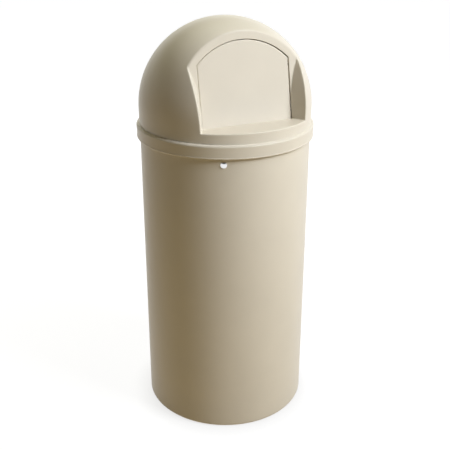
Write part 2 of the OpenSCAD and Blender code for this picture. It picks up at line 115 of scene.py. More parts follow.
# Recess
LEAN = math.radians(11.2)
FALL = math.radians(1.8)
DRAFT = math.radians(28.5)
SILL_Y = DOME_R - 83.5
SILL_Z = TUB_H + 25.6
SIDE_INSET = 57.2
SIDE_BOW_R = 350
SIDE_BOW_DROP = 8
FRAME_WALL = 5
LEDGE_FLANGE = 14
FACE_GAP = 0.4
EDGE_R = 3
CREASE_R = 2.5
DOME_DEPTH = SILL_Y * math.cos(LEAN) - (DOME_Z - SILL_Z) * math.sin(LEAN)
DOME_UP = SILL_Y * math.sin(LEAN) + (DOME_Z - SILL_Z) * math.cos(LEAN)
ARCH_R = math.sqrt(DOME_R**2 - DOME_DEPTH**2)
RECESS_HALF = ARCH_R - SIDE_INSET
BOW_X = RECESS_HALF + SIDE_BOW_R / math.cos(DRAFT)
BOW_Z = SILL_Z - SIDE_BOW_DROP

# Hood's mesh: how close its columns and rows lie, how round its edges are and how far they look rubbed
FINE_COLUMN = 0.7
COARSE_COLUMN = 5.0
ARCH_LEN = 170.0
GAP_FADE = 100
NEAR_LEDGE = 60
MAP_POLE = np.array([0, -230.0])
EDGE_STEPS = np.array([0.35, 0.8, 1.4, 2.2, 3.2, 4.5, 6.2])
EDGE_WEAR = 2.5
OPENING_ROUND = 0.8

# Door
DOOR_HALF = RECESS_HALF - 0.5
DOOR_RISE = DOME_UP + ARCH_R - 21.8
DOOR_ARCH_R = ARCH_R - 10
DOOR_ARCH_UP = DOOR_RISE - DOOR_ARCH_R
DOOR_GAP = 1.5
DOOR_TUCK = 8
DOOR_SKIN = 4
DOOR_DEPTH = 11.5
DOOR_EDGE_R = 3
DOOR_FACE_RINGS = (14, 9)
DOOR_FOOT_R = 5
DOOR_SHOULDER_R = 4.5
DOOR_SHIFT = 1.1
OPENING_R, OPENING_HALF = DOOR_ARCH_R + DOOR_GAP, DOOR_HALF + DOOR_GAP
SIDE_FLANGE_T = 4
SIDE_FLANGE_W = 8
SIDE_FLANGE_DROP = 1.2
SIDE_FLANGE_FRONT = DOOR_DEPTH - SIDE_FLANGE_T
SIDE_FLANGE_TOP = DOOR_ARCH_UP + math.sqrt(DOOR_ARCH_R**2 - DOOR_HALF**2) - SIDE_FLANGE_DROP
SIDE_FLANGE_ROOT = 3
BUMPER_STEM_R = SIDE_FLANGE_W / 4
BUMPER_X, BUMPER_UPS = DOOR_HALF + SIDE_FLANGE_W / 2, (20, SIDE_FLANGE_TOP - 16)
BUMPER_PLACES = [(side * BUMPER_X, up) for side in (-1, 1) for up in BUMPER_UPS]
DOOR_RIB = 3
RIB_DROP = 17
POCKET_DRAFT = 0.8

# Hinge
HINGE_UP = DOOR_RISE + 11.5
HINGE_DEPTH = 16.5
ROD_R = 3
ROD_HALF = 52
ROD_BEVEL = 0.6
CLIP_R = 5
CLIP_T = 1.5
EAR_X = 14
EAR_W = 10
EAR_OUT = EAR_X + EAR_W
EAR_R = 8
BUSH_BORE_R = 3.05
BUSH_R = 4.5
BUSH_FLANGE_R = 7
BUSH_FLANGE_T = 1.2
LUG_X = 44
LUG_R = 6.5
BRACKET_T = 2
LUG_OUT = LUG_X + BRACKET_T
PAD_DEPTH = 8.5
PAD_MARGIN = 2
PLATE_BACK = PAD_DEPTH + BRACKET_T
PLATE_W = 22
PLATE_H = 11
PLATE_LOW = DOOR_RISE - 2
SCREW_UP = PLATE_LOW + PLATE_H / 2
SCREW_XS = (LUG_X + 7, LUG_X + 17)
SCREW_R = 2
SCREW_HEAD_R = 3.8
SCREW_HEAD_H = 2.4
SCREW_PITCH = 0.4
CROSS_HALF = 2
CROSS_SLOT = 0.45
CROSS_DEPTH = 1.3
INSERT_R = 2.9
INSERT_LOW = 2
INSERT_GROOVES = 12
WIRE_R = 0.8
WIRE_BEND_R = 2
COIL_R = 5.2
COIL_PITCH = 2.3
COIL_TURNS = 5
COIL_X = EAR_OUT + BUSH_FLANGE_T + WIRE_R + 1
ANCHOR = np.array([HINGE_DEPTH + 8, HINGE_UP - 6])
ANCHOR_R = 3.5
SPRING_FOOT = np.array([DOOR_DEPTH + WIRE_R + 0.3, HINGE_UP - 31])

# Hold-downs
BOLT_Z = TUB_H - 48
BOLT_ANGLES = [math.radians(-90 - 25.1 + 120 * i) for i in range(3)]
BOLT_HEAD_R = 8
BOLT_HEAD_H = 3.6
BOLT_RIM_H = 0.6
BOLT_R = 3
BOLT_PITCH = 0.5
LEAF_T = 1.2
LEAF_W = 20
LEAF_DROP = 12
LEAF_FOLDS = (11, 20)
LEAF_NOSE_OUT = 3
LEAF_NOSE_HALF = 3
LEAF_NOSE_SLOPES = (10, 11)
WASHER_R = 6.2
WASHER_T = 1.2
NUT_R = 5.7
NUT_H = 5
LEAF_FACE_R = math.sqrt(TUB_IN_R**2 - (LEAF_W / 2) ** 2) - 0.1
LEAF_NOSE_R = math.sqrt((SKIRT_IN_R - 0.3) ** 2 - (LEAF_W / 2) ** 2)
WASHER_LOW = LEAF_FACE_R - LEAF_T - WASHER_T - TUB_R


# Small vector helpers

def unit(v):
    return v / np.maximum(np.linalg.norm(v, axis=-1, keepdims=True), 1e-12)


def mix(a, b, t):
    return a + (b - a) * t


def stacked(*parts):
    """Points from their coordinates, given as arrays or numbers."""
    return np.stack(np.broadcast_arrays(*parts), -1)


def from_frame(x, depth, up):
    """Points on the leaning frame: x, depth behind its face and height up its slope."""
    y = -SILL_Y + up * math.sin(LEAN) + depth * math.cos(LEAN)
    return stacked(x, y, SILL_Z + up * math.cos(LEAN) - depth * math.sin(LEAN))


def frame_depth(p):
    return (p[..., 1] + SILL_Y) * math.cos(LEAN) - (p[..., 2] - SILL_Z) * math.sin(LEAN)


def frame_up(p):
    return (p[..., 1] + SILL_Y) * math.sin(LEAN) + (p[..., 2] - SILL_Z) * math.cos(LEAN)


# Distances to the faces of the hood, negative inside the plastic

def outside_dome(p, r):
    rise = np.maximum(p[..., 2] - DOME_Z, 0)
    return np.sqrt(p[..., 0] ** 2 + p[..., 1] ** 2 + rise**2) - r


def above_ledge(p):
    return (p[..., 2] - SILL_Z) * math.cos(FALL) + (p[..., 1] + SILL_Y) * math.sin(FALL)


def inside_walls(p):
    across = (np.abs(p[..., 0]) - BOW_X) * math.cos(DRAFT) + (p[..., 1] + SILL_Y) * math.sin(DRAFT)
    return np.hypot(across, p[..., 2] - BOW_Z) - SIDE_BOW_R


def joined_round(a, b, r):
    """Union of two solids, with a concave fillet of radius r."""
    inside = np.hypot(np.maximum(r - a, 0), np.maximum(r - b, 0))
    return np.maximum(r, np.minimum(a, b)) - inside


def cut_round(a, b, r):
    """Intersection of two solids, with its edge rounded to radius r."""
    outside = np.hypot(np.maximum(r + a, 0), np.maximum(r + b, 0))
    return np.minimum(-r, np.maximum(a, b)) + outside


def recess_faces(p):
    return joined_round(above_ledge(p), inside_walls(p), CREASE_R)


def hood_skin(p):
    faces = joined_round(recess_faces(p), -frame_depth(p), CREASE_R)
    return cut_round(outside_dome(p, DOME_R), faces, EDGE_R)


def pulled(p, field, times=8):
    """Points moved along a field's slope to where it is zero."""
    step = 0.05
    for _ in range(times):
        rises = (field(p + step * axis) - field(p - step * axis) for axis in np.eye(3))
        slope = stacked(*rises) / (2 * step)
        p = p - (field(p) / np.maximum((slope**2).sum(-1), 1e-6))[..., None] * slope
    return p


# Meshes: a shell is an array of points in millimetres and a list of faces

def grid_faces(rows, cols, wrap_rows=False, wrap_cols=True):
    faces = []
    for i in range(rows if wrap_rows else rows - 1):
        for k in range(cols if wrap_cols else cols - 1):
            a, b = i * cols, (i + 1) % rows * cols
            k2 = (k + 1) % cols
            faces.append((a + k, a + k2, b + k2, b + k))
    return faces


def grid_shell(rows, wrap_rows=False):
    """Shell over rows of points that each close on themselves. Open ends get a cap."""
    rows = np.asarray(rows, float)
    n, cols = rows.shape[:2]
    faces = grid_faces(n, cols, wrap_rows)
    if not wrap_rows:
        faces += [tuple(range(cols - 1, -1, -1)), tuple((n - 1) * cols + k for k in range(cols))]
    return rows.reshape(-1, 3), faces


def turned(profile, count, closed=False):
    """Shell of a profile, as radius and height, turned round the Z axis. A closed one makes a ring."""
    angles = 2 * np.pi * np.arange(count) / count
    r, z = np.asarray(profile, float).T[:, :, None]
    return grid_shell(stacked(r * np.cos(angles), r * np.sin(angles), z), closed)


def rounded(corners, steps=5, closed=True):
    """Polyline with its corners, given as (x, y, radius), turned into arcs."""
    corners = np.asarray(corners, float)
    n, out = len(corners), []
    for i, (x, y, r) in enumerate(corners):
        p = np.array([x, y])
        if r == 0 or (not closed and i in (0, n - 1)):
            out.append(p)
            continue
        a, b = unit(corners[i - 1, :2] - p), unit(corners[(i + 1) % n, :2] - p)
        half = math.acos(np.clip(a @ b, -1, 1)) / 2
        reach = r / math.tan(half)
        middle = p + unit(a + b) * r / math.sin(half)
        start, end = p + a * reach - middle, p + b * reach - middle
        spread = np.pi - 2 * half
        for t in np.linspace(0, 1, steps + 1):
            out.append(middle + (start * math.sin((1 - t) * spread) + end * math.sin(t * spread))
                       / math.sin(spread))
    return np.array(out)


def divided(points, longest, closed=True):
    """Polyline with its long runs divided."""
    points = np.asarray(points, float)
    ends = np.roll(points, -1, 0) if closed else points[1:]
    out = []
    for p, q in zip(points, ends):
        n = max(1, math.ceil(np.linalg.norm(q - p) / longest))
        out += [mix(p, q, i / n) for i in range(n)]
    return np.array(out if closed else out + [points[-1]])


def swept(path, radius, sides, first):
    """Round tube along a path, carried on without twist."""
    path = np.asarray(path, float)
    along = unit(np.gradient(path, axis=0))
    across, rows = np.asarray(first, float), []
    turn = 2 * np.pi * np.arange(sides) / sides
    for p, t in zip(path, along):
        across = unit(across - (across @ t) * t)
        other = np.cross(t, across)
        rows.append(p + radius * (np.cos(turn)[:, None] * across + np.sin(turn)[:, None] * other))
    return grid_shell(rows)


def inset(outline, by):
    """Outline, anticlockwise, moved inwards all round."""
    edges = unit(np.roll(outline, -1, 0) - outline)
    after = stacked(-edges[:, 1], edges[:, 0])
    before = np.roll(after, 1, 0)
    return outline + by * (before + after) / (1 + (before * after).sum(-1, keepdims=True))


def extruded(outline, rows, axis):
    """Slab with an outline square to an axis. Each row has how far it is moved in and its place."""
    outline = np.asarray(outline, float)
    return grid_shell([np.insert(inset(outline, by), axis, place, 1) for by, place in rows])


def bevelled(front, back, r, steps=1):
    """Rows of a slab between two depths with rounded edges."""
    turns = np.linspace(0, np.pi / 2, steps + 1)
    first = [(r * (1 - math.sin(t)), front + r * (1 - math.cos(t))) for t in turns]
    return first + [(by, front + back - depth) for by, depth in first[::-1]]


def through(low, high):
    """Rows of a cut that passes both ends."""
    return [(0, low - 1), (0, high + 1)]


def flat_slab(outline, rows):
    """Slab drawn as x and height, in x, depth and height."""
    return extruded(outline, rows, axis=1)


def side_slab(outline, rows):
    """Slab drawn as depth and height and extruded along x, in x, depth and height."""
    return extruded(outline, rows, axis=0)


def level_slab(outline, rows):
    """Slab drawn as x and y, and extruded along Z."""
    return extruded(outline, rows, axis=2)


def rectangle(x0, x1, y0, y1, r=0.0, steps=3):
    return rounded([(x0, y0, r), (x1, y0, r), (x1, y1, r), (x0, y1, r)], steps)


def arc(x, y, r, turns):
    """Points on a circle at the given angles."""
    return stacked(x + r * np.cos(turns), y + r * np.sin(turns))


def circle(x, y, r, count=48):
    return arc(x, y, r, 2 * np.pi * np.arange(count) / count)


def hull(points):
    """Convex outline round some points."""
    points = sorted(map(tuple, points))

    def chain(run):
        out = []
        for p in run:
            while len(out) > 1 and np.cross(np.subtract(out[-1], out[-2]), np.subtract(p, out[-1])) <= 1e-9:
                out.pop()
            out.append(p)
        return out[:-1]

    return np.array(chain(points) + chain(points[::-1]))


def moved(shell, origin, x=(1, 0, 0), y=(0, 1, 0), z=(0, 0, 1)):
    points, faces = shell
    return np.asarray(origin, float) + points @ np.array([x, y, z], float), faces


def mirrored(shell):
    points, faces = shell
    return points * [-1, 1, 1], [f[::-1] for f in faces]


def both(shell):
    return shell, mirrored(shell)


def joined(*shells):
    points, faces, count = [], [], 0
    for p, f in shells:
        points.append(p)
        faces += [tuple(i + count for i in face) for face in f]
        count += len(p)
    return np.concatenate(points), faces


def outward(shell):
    """The shell with its faces turned so that it holds a positive volume."""
    points, faces = shell
    volume = 0.0
    for f in faces:
        v = points[list(f)]
        volume += np.einsum("i,ji->", v[0], np.cross(v[1:-1], v[2:]))
    return shell if volume > 0 else (points, [f[::-1] for f in faces])


def on_frame(shell):
    """Shell drawn in x, depth and height, put on the leaning frame."""
    points, faces = shell
    return from_frame(*points.T), faces


def along_hinge(shell, x, side=1):
    """Shell turned about Z, laid along the hinge axis from x outwards."""
    out = moved(shell, (x, HINGE_DEPTH, HINGE_UP), (0, 1, 0), (0, 0, 1), (1, 0, 0))
    return on_frame(out if side > 0 else mirrored(out))


def into_frame(shell, x, up):
    """Shell turned about Z, set square into the frame, with Z as depth."""
    return on_frame(moved(shell, (x, 0, up), (0, 0, 1), (1, 0, 0), (0, 1, 0)))


def new_object(name, data):
    obj = bpy.data.objects.new(name, data)
    bpy.context.scene.collection.objects.link(obj)
    return obj


def mesh_object(name, points, faces):
    mesh = bpy.data.meshes.new(name)
    mesh.from_pydata(np.asarray(points).tolist(), [], [list(f) for f in faces])
    return new_object(name, mesh)


def carved(shell, adds=(), cuts=(), within=()):
    """The shell with closed shells joined on, others cut out, and kept within others."""
    base = mesh_object("form", *outward(shell))
    forms = [base]
    for operation, shells in (("UNION", adds), ("DIFFERENCE", cuts), ("INTERSECT", within)):
        for s in shells:
            step = base.modifiers.new("step", "BOOLEAN")
            step.operation = operation
            step.solver = "EXACT"
            step.object = mesh_object("form", *outward(s))
            forms.append(step.object)
    base.modifiers.new("weld", "WELD").merge_threshold = WELD_REACH
    mesh = bpy.data.meshes.new_from_object(base.evaluated_get(bpy.context.evaluated_depsgraph_get()))
    result = np.array([v.co[:] for v in mesh.vertices]), [tuple(f.vertices) for f in mesh.polygons]
    for data in (mesh, *(obj.data for obj in forms)):
        bpy.data.meshes.remove(data)
    return result


def piece(name, shell, body, slot, nodes, sharp=40, wear=None):
    """Blender object of a shell, riding on a body and standing for CAD nodes."""
    points, faces = outward(shell)
    obj = mesh_object(name, points * MM, faces)
    mesh = obj.data
    mesh.validate()
    mesh.shade_smooth()
    mesh.set_sharp_from_angle(angle=math.radians(sharp))
    mesh.materials.append(MATERIALS[slot])
    if wear is not None:
        layer = mesh.attributes.new("wear", "FLOAT", "POINT")
        layer.data.foreach_set("value", np.asarray(wear, np.float32))
    obj.modifiers.new("even_shading", "WEIGHTED_NORMAL").keep_sharp = True
    if body:
        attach(obj, body)
    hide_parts(*nodes)
    return obj


# Materials

class Nodes:
    """Nodes of a material or world, added by kind and joined by socket."""

    def __init__(self, owner):
        owner.use_nodes = True
        self.owner = owner
        self.tree = owner.node_tree
        self.place = self.add("ShaderNodeTexCoord").outputs

    def feed(self, target, value):
        """Gives an input another node's output, a number, a colour or a vector."""
        if isinstance(value, bpy.types.NodeSocket):
            self.tree.links.new(value, target)
        elif isinstance(value, tuple):
            target.default_value = (*value, 1)[:len(target.default_value)]
        else:
            target.default_value = value

    def add(self, kind, *sources, **values):
        """New node, with values for its settings and inputs by name, and sources for its inputs in order."""
        node = self.tree.nodes.new(kind)
        for name, value in values.items():
            if name in node.inputs:
                self.feed(node.inputs[name], value)
            else:
                setattr(node, name, value)
        for target, source in zip(node.inputs, sources):
            self.feed(target, source)
        return node

    def out(self, kind, *sources, **values):
        """First output of a new node."""
        return self.add(kind, *sources, **values).outputs[0]

    def noise(self, scale, detail=2.0, rough=0.5, stretch=None):
        place = self.place["Object"]
        if stretch:
            place = self.out("ShaderNodeMapping", place, Scale=stretch)
        return self.out("ShaderNodeTexNoise", place, Scale=scale, Detail=detail, Roughness=rough)

    def ranged(self, source, low, high, to_low, to_high, **settings):
        return self.out("ShaderNodeMapRange", source, low, high, to_low, to_high, **settings)

    def blended(self, share, a, b):
        """Colour between a and b by a share."""
        node = self.add("ShaderNodeMix", share, data_type="RGBA")
        self.feed(node.inputs[6], a)
        self.feed(node.inputs[7], b)
        return node.outputs[2]

    def math(self, operation, a, b):
        return self.out("ShaderNodeMath", a, b, operation=operation)

    def bump(self, height, distance, strength=1.0, **before):
        return self.out("ShaderNodeBump", Height=height, Distance=distance, Strength=strength, **before)

    def seen(self):
        """1 for rays that show the background: camera, glossy and transmission."""
        path = self.add("ShaderNodeLightPath").outputs
        share = path["Is Camera Ray"]
        for name in ("Is Glossy Ray", "Is Transmission Ray"):
            share = self.math("MAXIMUM", share, path[name])
        return share

    def surface(self, colour, roughness, normal, **constants):
        """Feeds the Principled shader, and gives the material."""
        values = {"Base Color": colour, "Roughness": roughness, "Normal": normal, **constants}
        for name, value in values.items():
            self.feed(self.tree.nodes["Principled BSDF"].inputs[name], value)
        return self.owner


def shade(colour, by):
    """A colour made darker or lighter."""
    return tuple(min(1, c * by) for c in colour)


def moulded_plastic(name, rough):
    """Satin moulded plastic: faint clouding, fine grain, edges rubbed paler and smoother."""
    base = COLOURS[name]
    n = Nodes(bpy.data.materials.new(name))
    clouds = n.noise(scale=7, detail=4, rough=0.55)
    specks = n.noise(scale=160, detail=3, rough=0.6)
    tone = n.blended(n.ranged(clouds, 0.3, 0.7, 0, 1), shade(base, 0.965), shade(base, 1.02))
    tone = n.blended(n.ranged(specks, 0.62, 0.8, 0, 0.25), tone, shade(base, 0.9))
    wear = n.add("ShaderNodeAttribute", attribute_name="wear").outputs["Fac"]
    rubbed = n.ranged(n.math("MULTIPLY", wear, n.noise(scale=40, detail=3)), 0.2, 0.7, 0, 0.55)
    patchy = n.math("ADD", clouds, n.math("MULTIPLY", specks, 0.5))
    satin = n.ranged(patchy, 0.4, 1.1, rough - 0.02, rough + 0.03)
    waves = n.bump(n.noise(scale=9, detail=1), distance=0.0006, strength=0.35)
    grain = n.bump(n.noise(scale=1100), distance=0.00005, strength=0.5, Normal=waves)
    return n.surface(n.blended(rubbed, tone, shade(base, 1.09)),
                     n.math("SUBTRACT", satin, n.math("MULTIPLY", rubbed, 0.12)), grain, IOR=1.5)


def drawn_metal(name, rough, stretch=(1, 1, 1), streaks=900, wear_tone=0.8):
    """Metal with drawing or turning marks, duller and darker patches, and edges rubbed bright."""
    base = COLOURS[name]
    n = Nodes(bpy.data.materials.new(name))
    facing = n.add("ShaderNodeVectorMath", n.out("ShaderNodeBevel", samples=4, Radius=0.0006),
                   n.add("ShaderNodeNewGeometry").outputs["Normal"], operation="DOT_PRODUCT")
    edges = n.ranged(facing.outputs["Value"], 0.8, 0.99, 1, 0)
    patches = n.noise(scale=60, detail=4, rough=0.6)
    marks = n.noise(streaks, detail=2, rough=0.6, stretch=stretch)
    tone = n.blended(n.ranged(patches, 0.35, 0.75, 0, 1), base, shade(base, wear_tone))
    satin = n.ranged(n.math("ADD", patches, marks), 0.6, 1.4, rough * 0.7, rough * 1.4)
    return n.surface(n.blended(n.math("MULTIPLY", edges, 0.6), tone, shade(base, 1.2)),
                     n.math("SUBTRACT", satin, n.math("MULTIPLY", edges, rough * 0.3)),
                     n.bump(marks, distance=0.00003, strength=0.4), Metallic=1.0)


def rubber(name):
    """Matt rubber with a pale bloom."""
    base = COLOURS[name]
    n = Nodes(bpy.data.materials.new(name))
    bloom = n.noise(scale=220, detail=4, rough=0.6)
    return n.surface(n.blended(n.ranged(bloom, 0.4, 0.75, 0, 1), base, shade(base, 1.9)),
                     n.ranged(bloom, 0.3, 0.8, 0.7, 0.9),
                     n.bump(n.noise(scale=2500), distance=0.00005, strength=0.5))


COLOURS = {m["slot"]: tuple(m["base_color"]) for m in frame["record"]["materials"]}
DRAWN_UPWARDS = (1, 1, 0.05)
TURNED_ROUND_X = (12, 1, 1)
PLASTICS = {"tub_plastic": 0.36, "hood_plastic": 0.33, "door_plastic": 0.32, "nylon_bush": 0.4}
MATERIALS = {name: moulded_plastic(name, rough) for name, rough in PLASTICS.items()} | {
    "bright_bolt": drawn_metal("bright_bolt", rough=0.07, streaks=500, wear_tone=0.92),
    "plated_steel": drawn_metal("plated_steel", rough=0.32),
    "spring_steel": drawn_metal("spring_steel", rough=0.36, stretch=DRAWN_UPWARDS),
    "spring_wire": drawn_metal("spring_wire", rough=0.3, streaks=1500),
    "hinge_steel": drawn_metal("hinge_steel", rough=0.24, stretch=TURNED_ROUND_X),
    "brass_insert": drawn_metal("brass_insert", rough=0.3, stretch=TURNED_ROUND_X),
    "bumper_rubber": rubber("bumper_rubber"),
}


def dress_cad_nodes():
    """Each CAD node gets its slot's material."""
    slots = {s["node"]: s["material_slot"] for s in frame["record"]["subparts"]}
    for node, obj in frame["nodes"].items():
        obj.data.materials.clear()
        obj.data.materials.append(MATERIALS[slots[node]])


# Camera, floor and light, in metres

CAMERA_PLACE = (-0.7982, -1.7677, 1.3468)
CAMERA_PITCH = 66.59
CAMERA_TURN = -24.3
CAMERA_LENS = 61.68
CAMERA_SENSOR = 36
FLOOR_HALF = 12
FLOOR_WHITE = 0.91
FLOOR_SHADE = (0.16, 0.16, 0.16)
FLOOR_BOUNCE = (0.26, 0.20, 0.10)
FLOOR_GLOW = (0.307, 0.218, 0.08)
GLOW_REACH = 4
GLOW_AT = ((0, 0.75), (0.08, 0.75), (0.2, 1.0), (0.5, 1.0), (0.8, 0.0), (1, 0))
# Painted contact shadow on the floor: how far its ambient occlusion reaches, and how far it dims the floor's white
PAINTED_SHADOW_REACH = 0.06
PAINTED_SHADOW_DARKEST = 0.84
SKY_FADE = (0.27, 0.5)
SKY_OVERHEAD = 0.02
SKY_FILL = (0.014, 0.0113, 0.007)
LAMP_DISTANCE = 3.0
LAMP_AIM_Z = TUB_H * MM * 0.7


def make_camera():
    camera = new_object("camera", bpy.data.cameras.new("camera"))
    camera.data.sensor_width = CAMERA_SENSOR
    camera.data.lens = CAMERA_LENS
    camera.location = CAMERA_PLACE
    camera.rotation_euler = (math.radians(CAMERA_PITCH), 0, math.radians(CAMERA_TURN))
    bpy.context.scene.camera = camera


def floor_material():
    """White to the eye apart from the object's shadow, which is partly cast by the lamps and partly a painted
    contact shadow, and a low warm bounce on matt surfaces.
    """
    n = Nodes(bpy.data.materials.new("floor"))
    n.tree.nodes.remove(n.tree.nodes["Principled BSDF"])
    length = n.add("ShaderNodeVectorMath", n.place["Object"], operation="LENGTH")
    away = n.math("DIVIDE", length.outputs["Value"], GLOW_REACH)
    fade = n.add("ShaderNodeFloatCurve", Value=away)
    curve = fade.mapping.curves[0].points
    curve[0].location, curve[1].location = GLOW_AT[0], GLOW_AT[-1]
    for place in GLOW_AT[1:-1]:
        curve.new(*place)
    fade.mapping.update()
    # Painted contact shadow: ambient occlusion darkens the floor's white emission round the can's foot. The white
    # is also lower near the can, so that the lamps' shadow shows.
    close = n.add("ShaderNodeAmbientOcclusion", samples=8, Distance=PAINTED_SHADOW_REACH).outputs["AO"]
    white = n.math("MULTIPLY", n.ranged(away, 0.1, 0.6, FLOOR_WHITE, 1),
                   n.ranged(close, 0.4, 1, PAINTED_SHADOW_DARKEST, 1))
    shown = n.out("ShaderNodeAddShader", n.out("ShaderNodeEmission", Strength=white),
                  n.out("ShaderNodeBsdfDiffuse", FLOOR_SHADE))
    fill = n.out("ShaderNodeAddShader", n.out("ShaderNodeBsdfDiffuse", FLOOR_BOUNCE),
                 n.out("ShaderNodeEmission", FLOOR_GLOW, fade.outputs["Value"]))
    n.feed(n.tree.nodes["Material Output"].inputs["Surface"],
           n.out("ShaderNodeMixShader", n.seen(), fill, shown))
    return n.owner


def make_floor():
    corners = [(x * FLOOR_HALF, y * FLOOR_HALF, 0) for x, y in ((-1, -1), (1, -1), (1, 1), (-1, 1))]
    floor = mesh_object("floor", corners, [(0, 1, 2, 3)])
    floor.data.materials.append(floor_material())


def make_world():
    """White to the camera, white round the horizon and dark overhead in reflections, and a low fill
    on matt surfaces."""
    world = bpy.data.worlds.new("world")
    bpy.context.scene.world = world
    n = Nodes(world)
    height = n.add("ShaderNodeSeparateXYZ", n.place["Generated"]).outputs["Z"]
    ceiling = n.ranged(height, *SKY_FADE, 1, SKY_OVERHEAD, interpolation_type="SMOOTHSTEP")
    direct = n.add("ShaderNodeLightPath").outputs["Is Camera Ray"]
    shown = n.out("ShaderNodeBackground", n.math("MAXIMUM", ceiling, direct))
    n.feed(n.tree.nodes["World Output"].inputs["Surface"],
           n.out("ShaderNodeMixShader", n.seen(), n.out("ShaderNodeBackground", SKY_FILL), shown))


def make_lamp(name, turn, rise, size, power, colour, in_gloss=False):
    """Square lamp aimed at the can. turn is its place in degrees to the right of the door's front."""
    turn, rise = math.radians(turn), math.radians(rise)
    away = Vector((math.sin(turn) * math.cos(rise), -math.cos(turn) * math.cos(rise), math.sin(rise)))
    lamp = new_object(name, bpy.data.lights.new(name, "AREA"))
    lamp.data.size = size
    lamp.data.energy = power
    lamp.data.color = colour
    lamp.location = Vector((0, 0, LAMP_AIM_Z)) + away * LAMP_DISTANCE
    lamp.rotation_euler = away.to_track_quat("Z", "Y").to_euler()
    lamp.visible_glossy = in_gloss


def make_lights():
    """One weak lamp shows in the gloss. The others would clip the dome's edge to white from behind."""
    make_lamp("gloss", turn=37, rise=54, size=0.9, power=18, colour=(0.93, 0.96, 1.0), in_gloss=True)
    make_lamp("key", turn=37, rise=35, size=1.1, power=75, colour=(0.92, 0.955, 1.0))
    make_lamp("back", turn=162, rise=14, size=1.8, power=44, colour=(0.96, 0.97, 1.0))
    make_lamp("rear", turn=180, rise=60, size=1.6, power=24, colour=(0.98, 1.0, 0.74))
    make_lamp("top", turn=0, rise=88, size=2.0, power=10, colour=(1.0, 0.78, 0.4))
    make_lamp("side", turn=-125, rise=4, size=1.0, power=2, colour=(1.0, 0.92, 0.7))


make_camera()
make_floor()
make_world()
make_lights()
dress_cad_nodes()

bpy.context.scene.view_settings.view_transform = "Standard"


# Tub

def make_tub():
    """Tub: straight wall, rounded foot, dished base and thickened rim."""
    base = TUB_WALL
    corners = [
        (0, BASE_LIFT, 0), (DISH_R - BASE_LIFT, BASE_LIFT, 4), (DISH_R, 0, 3),
        (TUB_R, 0, FOOT_ROUND), (TUB_R, TUB_H, 1.5), (RIM_IN_R, TUB_H, 1.5),
        (RIM_IN_R, TUB_H - RIM_BEAD_H, 1), (TUB_IN_R, TUB_H - RIM_BEAD_H - RIM_BEAD, 1),
        (TUB_IN_R, base, FOOT_ROUND - TUB_WALL), (DISH_R + base / 2, base, 3),
        (DISH_R - BASE_LIFT + base / 2, BASE_LIFT + base, 4), (0, BASE_LIFT + base, 0),
    ]
    profile = divided(rounded(corners, 8, closed=False), 40, closed=False)
    profile[:, 0] = np.maximum(profile[:, 0], TUB_AXIS_R)
    shell = turned(profile, 288)
    z = shell[0][:, 2]
    wear = np.exp(-np.abs(z - TUB_H) / RIM_WEAR) + np.exp(-z / FOOT_WEAR)
    piece("tub_shell", shell, "tub", "tub_plastic", ["container_body"], wear=np.clip(wear, 0, 1))


# Hood

def graded(length, fine, coarse, growth=1.35):
    """Places from 0 to length, close together at 0."""
    steps, step = [], fine
    while sum(steps) < length:
        steps.append(step)
        step = min(step * growth, coarse)
    places = np.concatenate([[0], np.cumsum(steps)])
    return places * length / places[-1]


def wall_x(y, z, grow):
    """x of the side wall, moved outwards by grow."""
    bow = np.sqrt((SIDE_BOW_R - grow) ** 2 - (z - BOW_Z) ** 2)
    return BOW_X - bow / math.cos(DRAFT) - (y + SILL_Y) * math.tan(DRAFT)


def on_ledge(x, y, grow):
    return stacked(x, y, SILL_Z - (grow + (y + SILL_Y) * math.sin(FALL)) / math.cos(FALL))


def wall_on_dome(z, r, grow):
    """Where the side wall meets the dome at a height."""
    across = np.sqrt(r**2 - np.maximum(z - DOME_Z, 0) ** 2)
    slope = math.tan(DRAFT)
    start = wall_x(0.0, z, grow)
    root = np.sqrt((start * slope) ** 2 - (1 + slope**2) * (start**2 - across**2))
    y = (start * slope - root) / (1 + slope**2)
    return stacked(wall_x(y, z, grow), y, z)


def bisected(f, low, high):
    """Where f, negative at low, crosses zero."""
    for _ in range(60):
        middle = (low + high) / 2
        low, high = (middle, high) if f(middle) < 0 else (low, middle)
    return (low + high) / 2


def recess_outline(r, grow, share_sill, share_side, share_arch):
    """Right half of the recess's outline on a dome of radius r, from the ledge's middle to the top."""
    z_low = bisected(lambda z: above_ledge(wall_on_dome(np.array(z), r, grow)) + grow, SILL_Z - 10, DOME_Z)
    corner = wall_on_dome(np.array(z_low), r, grow)
    x = corner[0] * share_sill
    sill = on_ledge(x, -np.sqrt(r**2 - x**2), grow)
    arch_r = math.sqrt(r**2 - (DOME_DEPTH - grow) ** 2)

    def arch_at(angle):
        return from_frame(arch_r * np.cos(angle), grow, DOME_UP + arch_r * np.sin(angle))

    turn = bisected(lambda a: inside_walls(arch_at(a)) + grow, 0.1, np.pi / 2)
    z = mix(z_low, arch_at(turn)[2], share_side)
    side = wall_on_dome(z, r, grow)
    side[-1] = arch_at(turn)
    arch = arch_at(mix(turn, np.pi / 2, share_arch))
    return np.concatenate([sill, side[1:], arch[1:]])


def dome_map(p, r):
    """Flat map of points on a dome of radius r. Each lies at its distance from the top along the surface,
    in its own direction."""
    turn = np.arctan2(p[:, 0], -p[:, 1])
    out, rise = np.hypot(p[:, 0], p[:, 1]), p[:, 2] - DOME_Z
    far = np.where(rise >= 0, r * np.arctan2(out, rise), r * np.pi / 2 - rise)
    return stacked(far * np.sin(turn), -far * np.cos(turn))


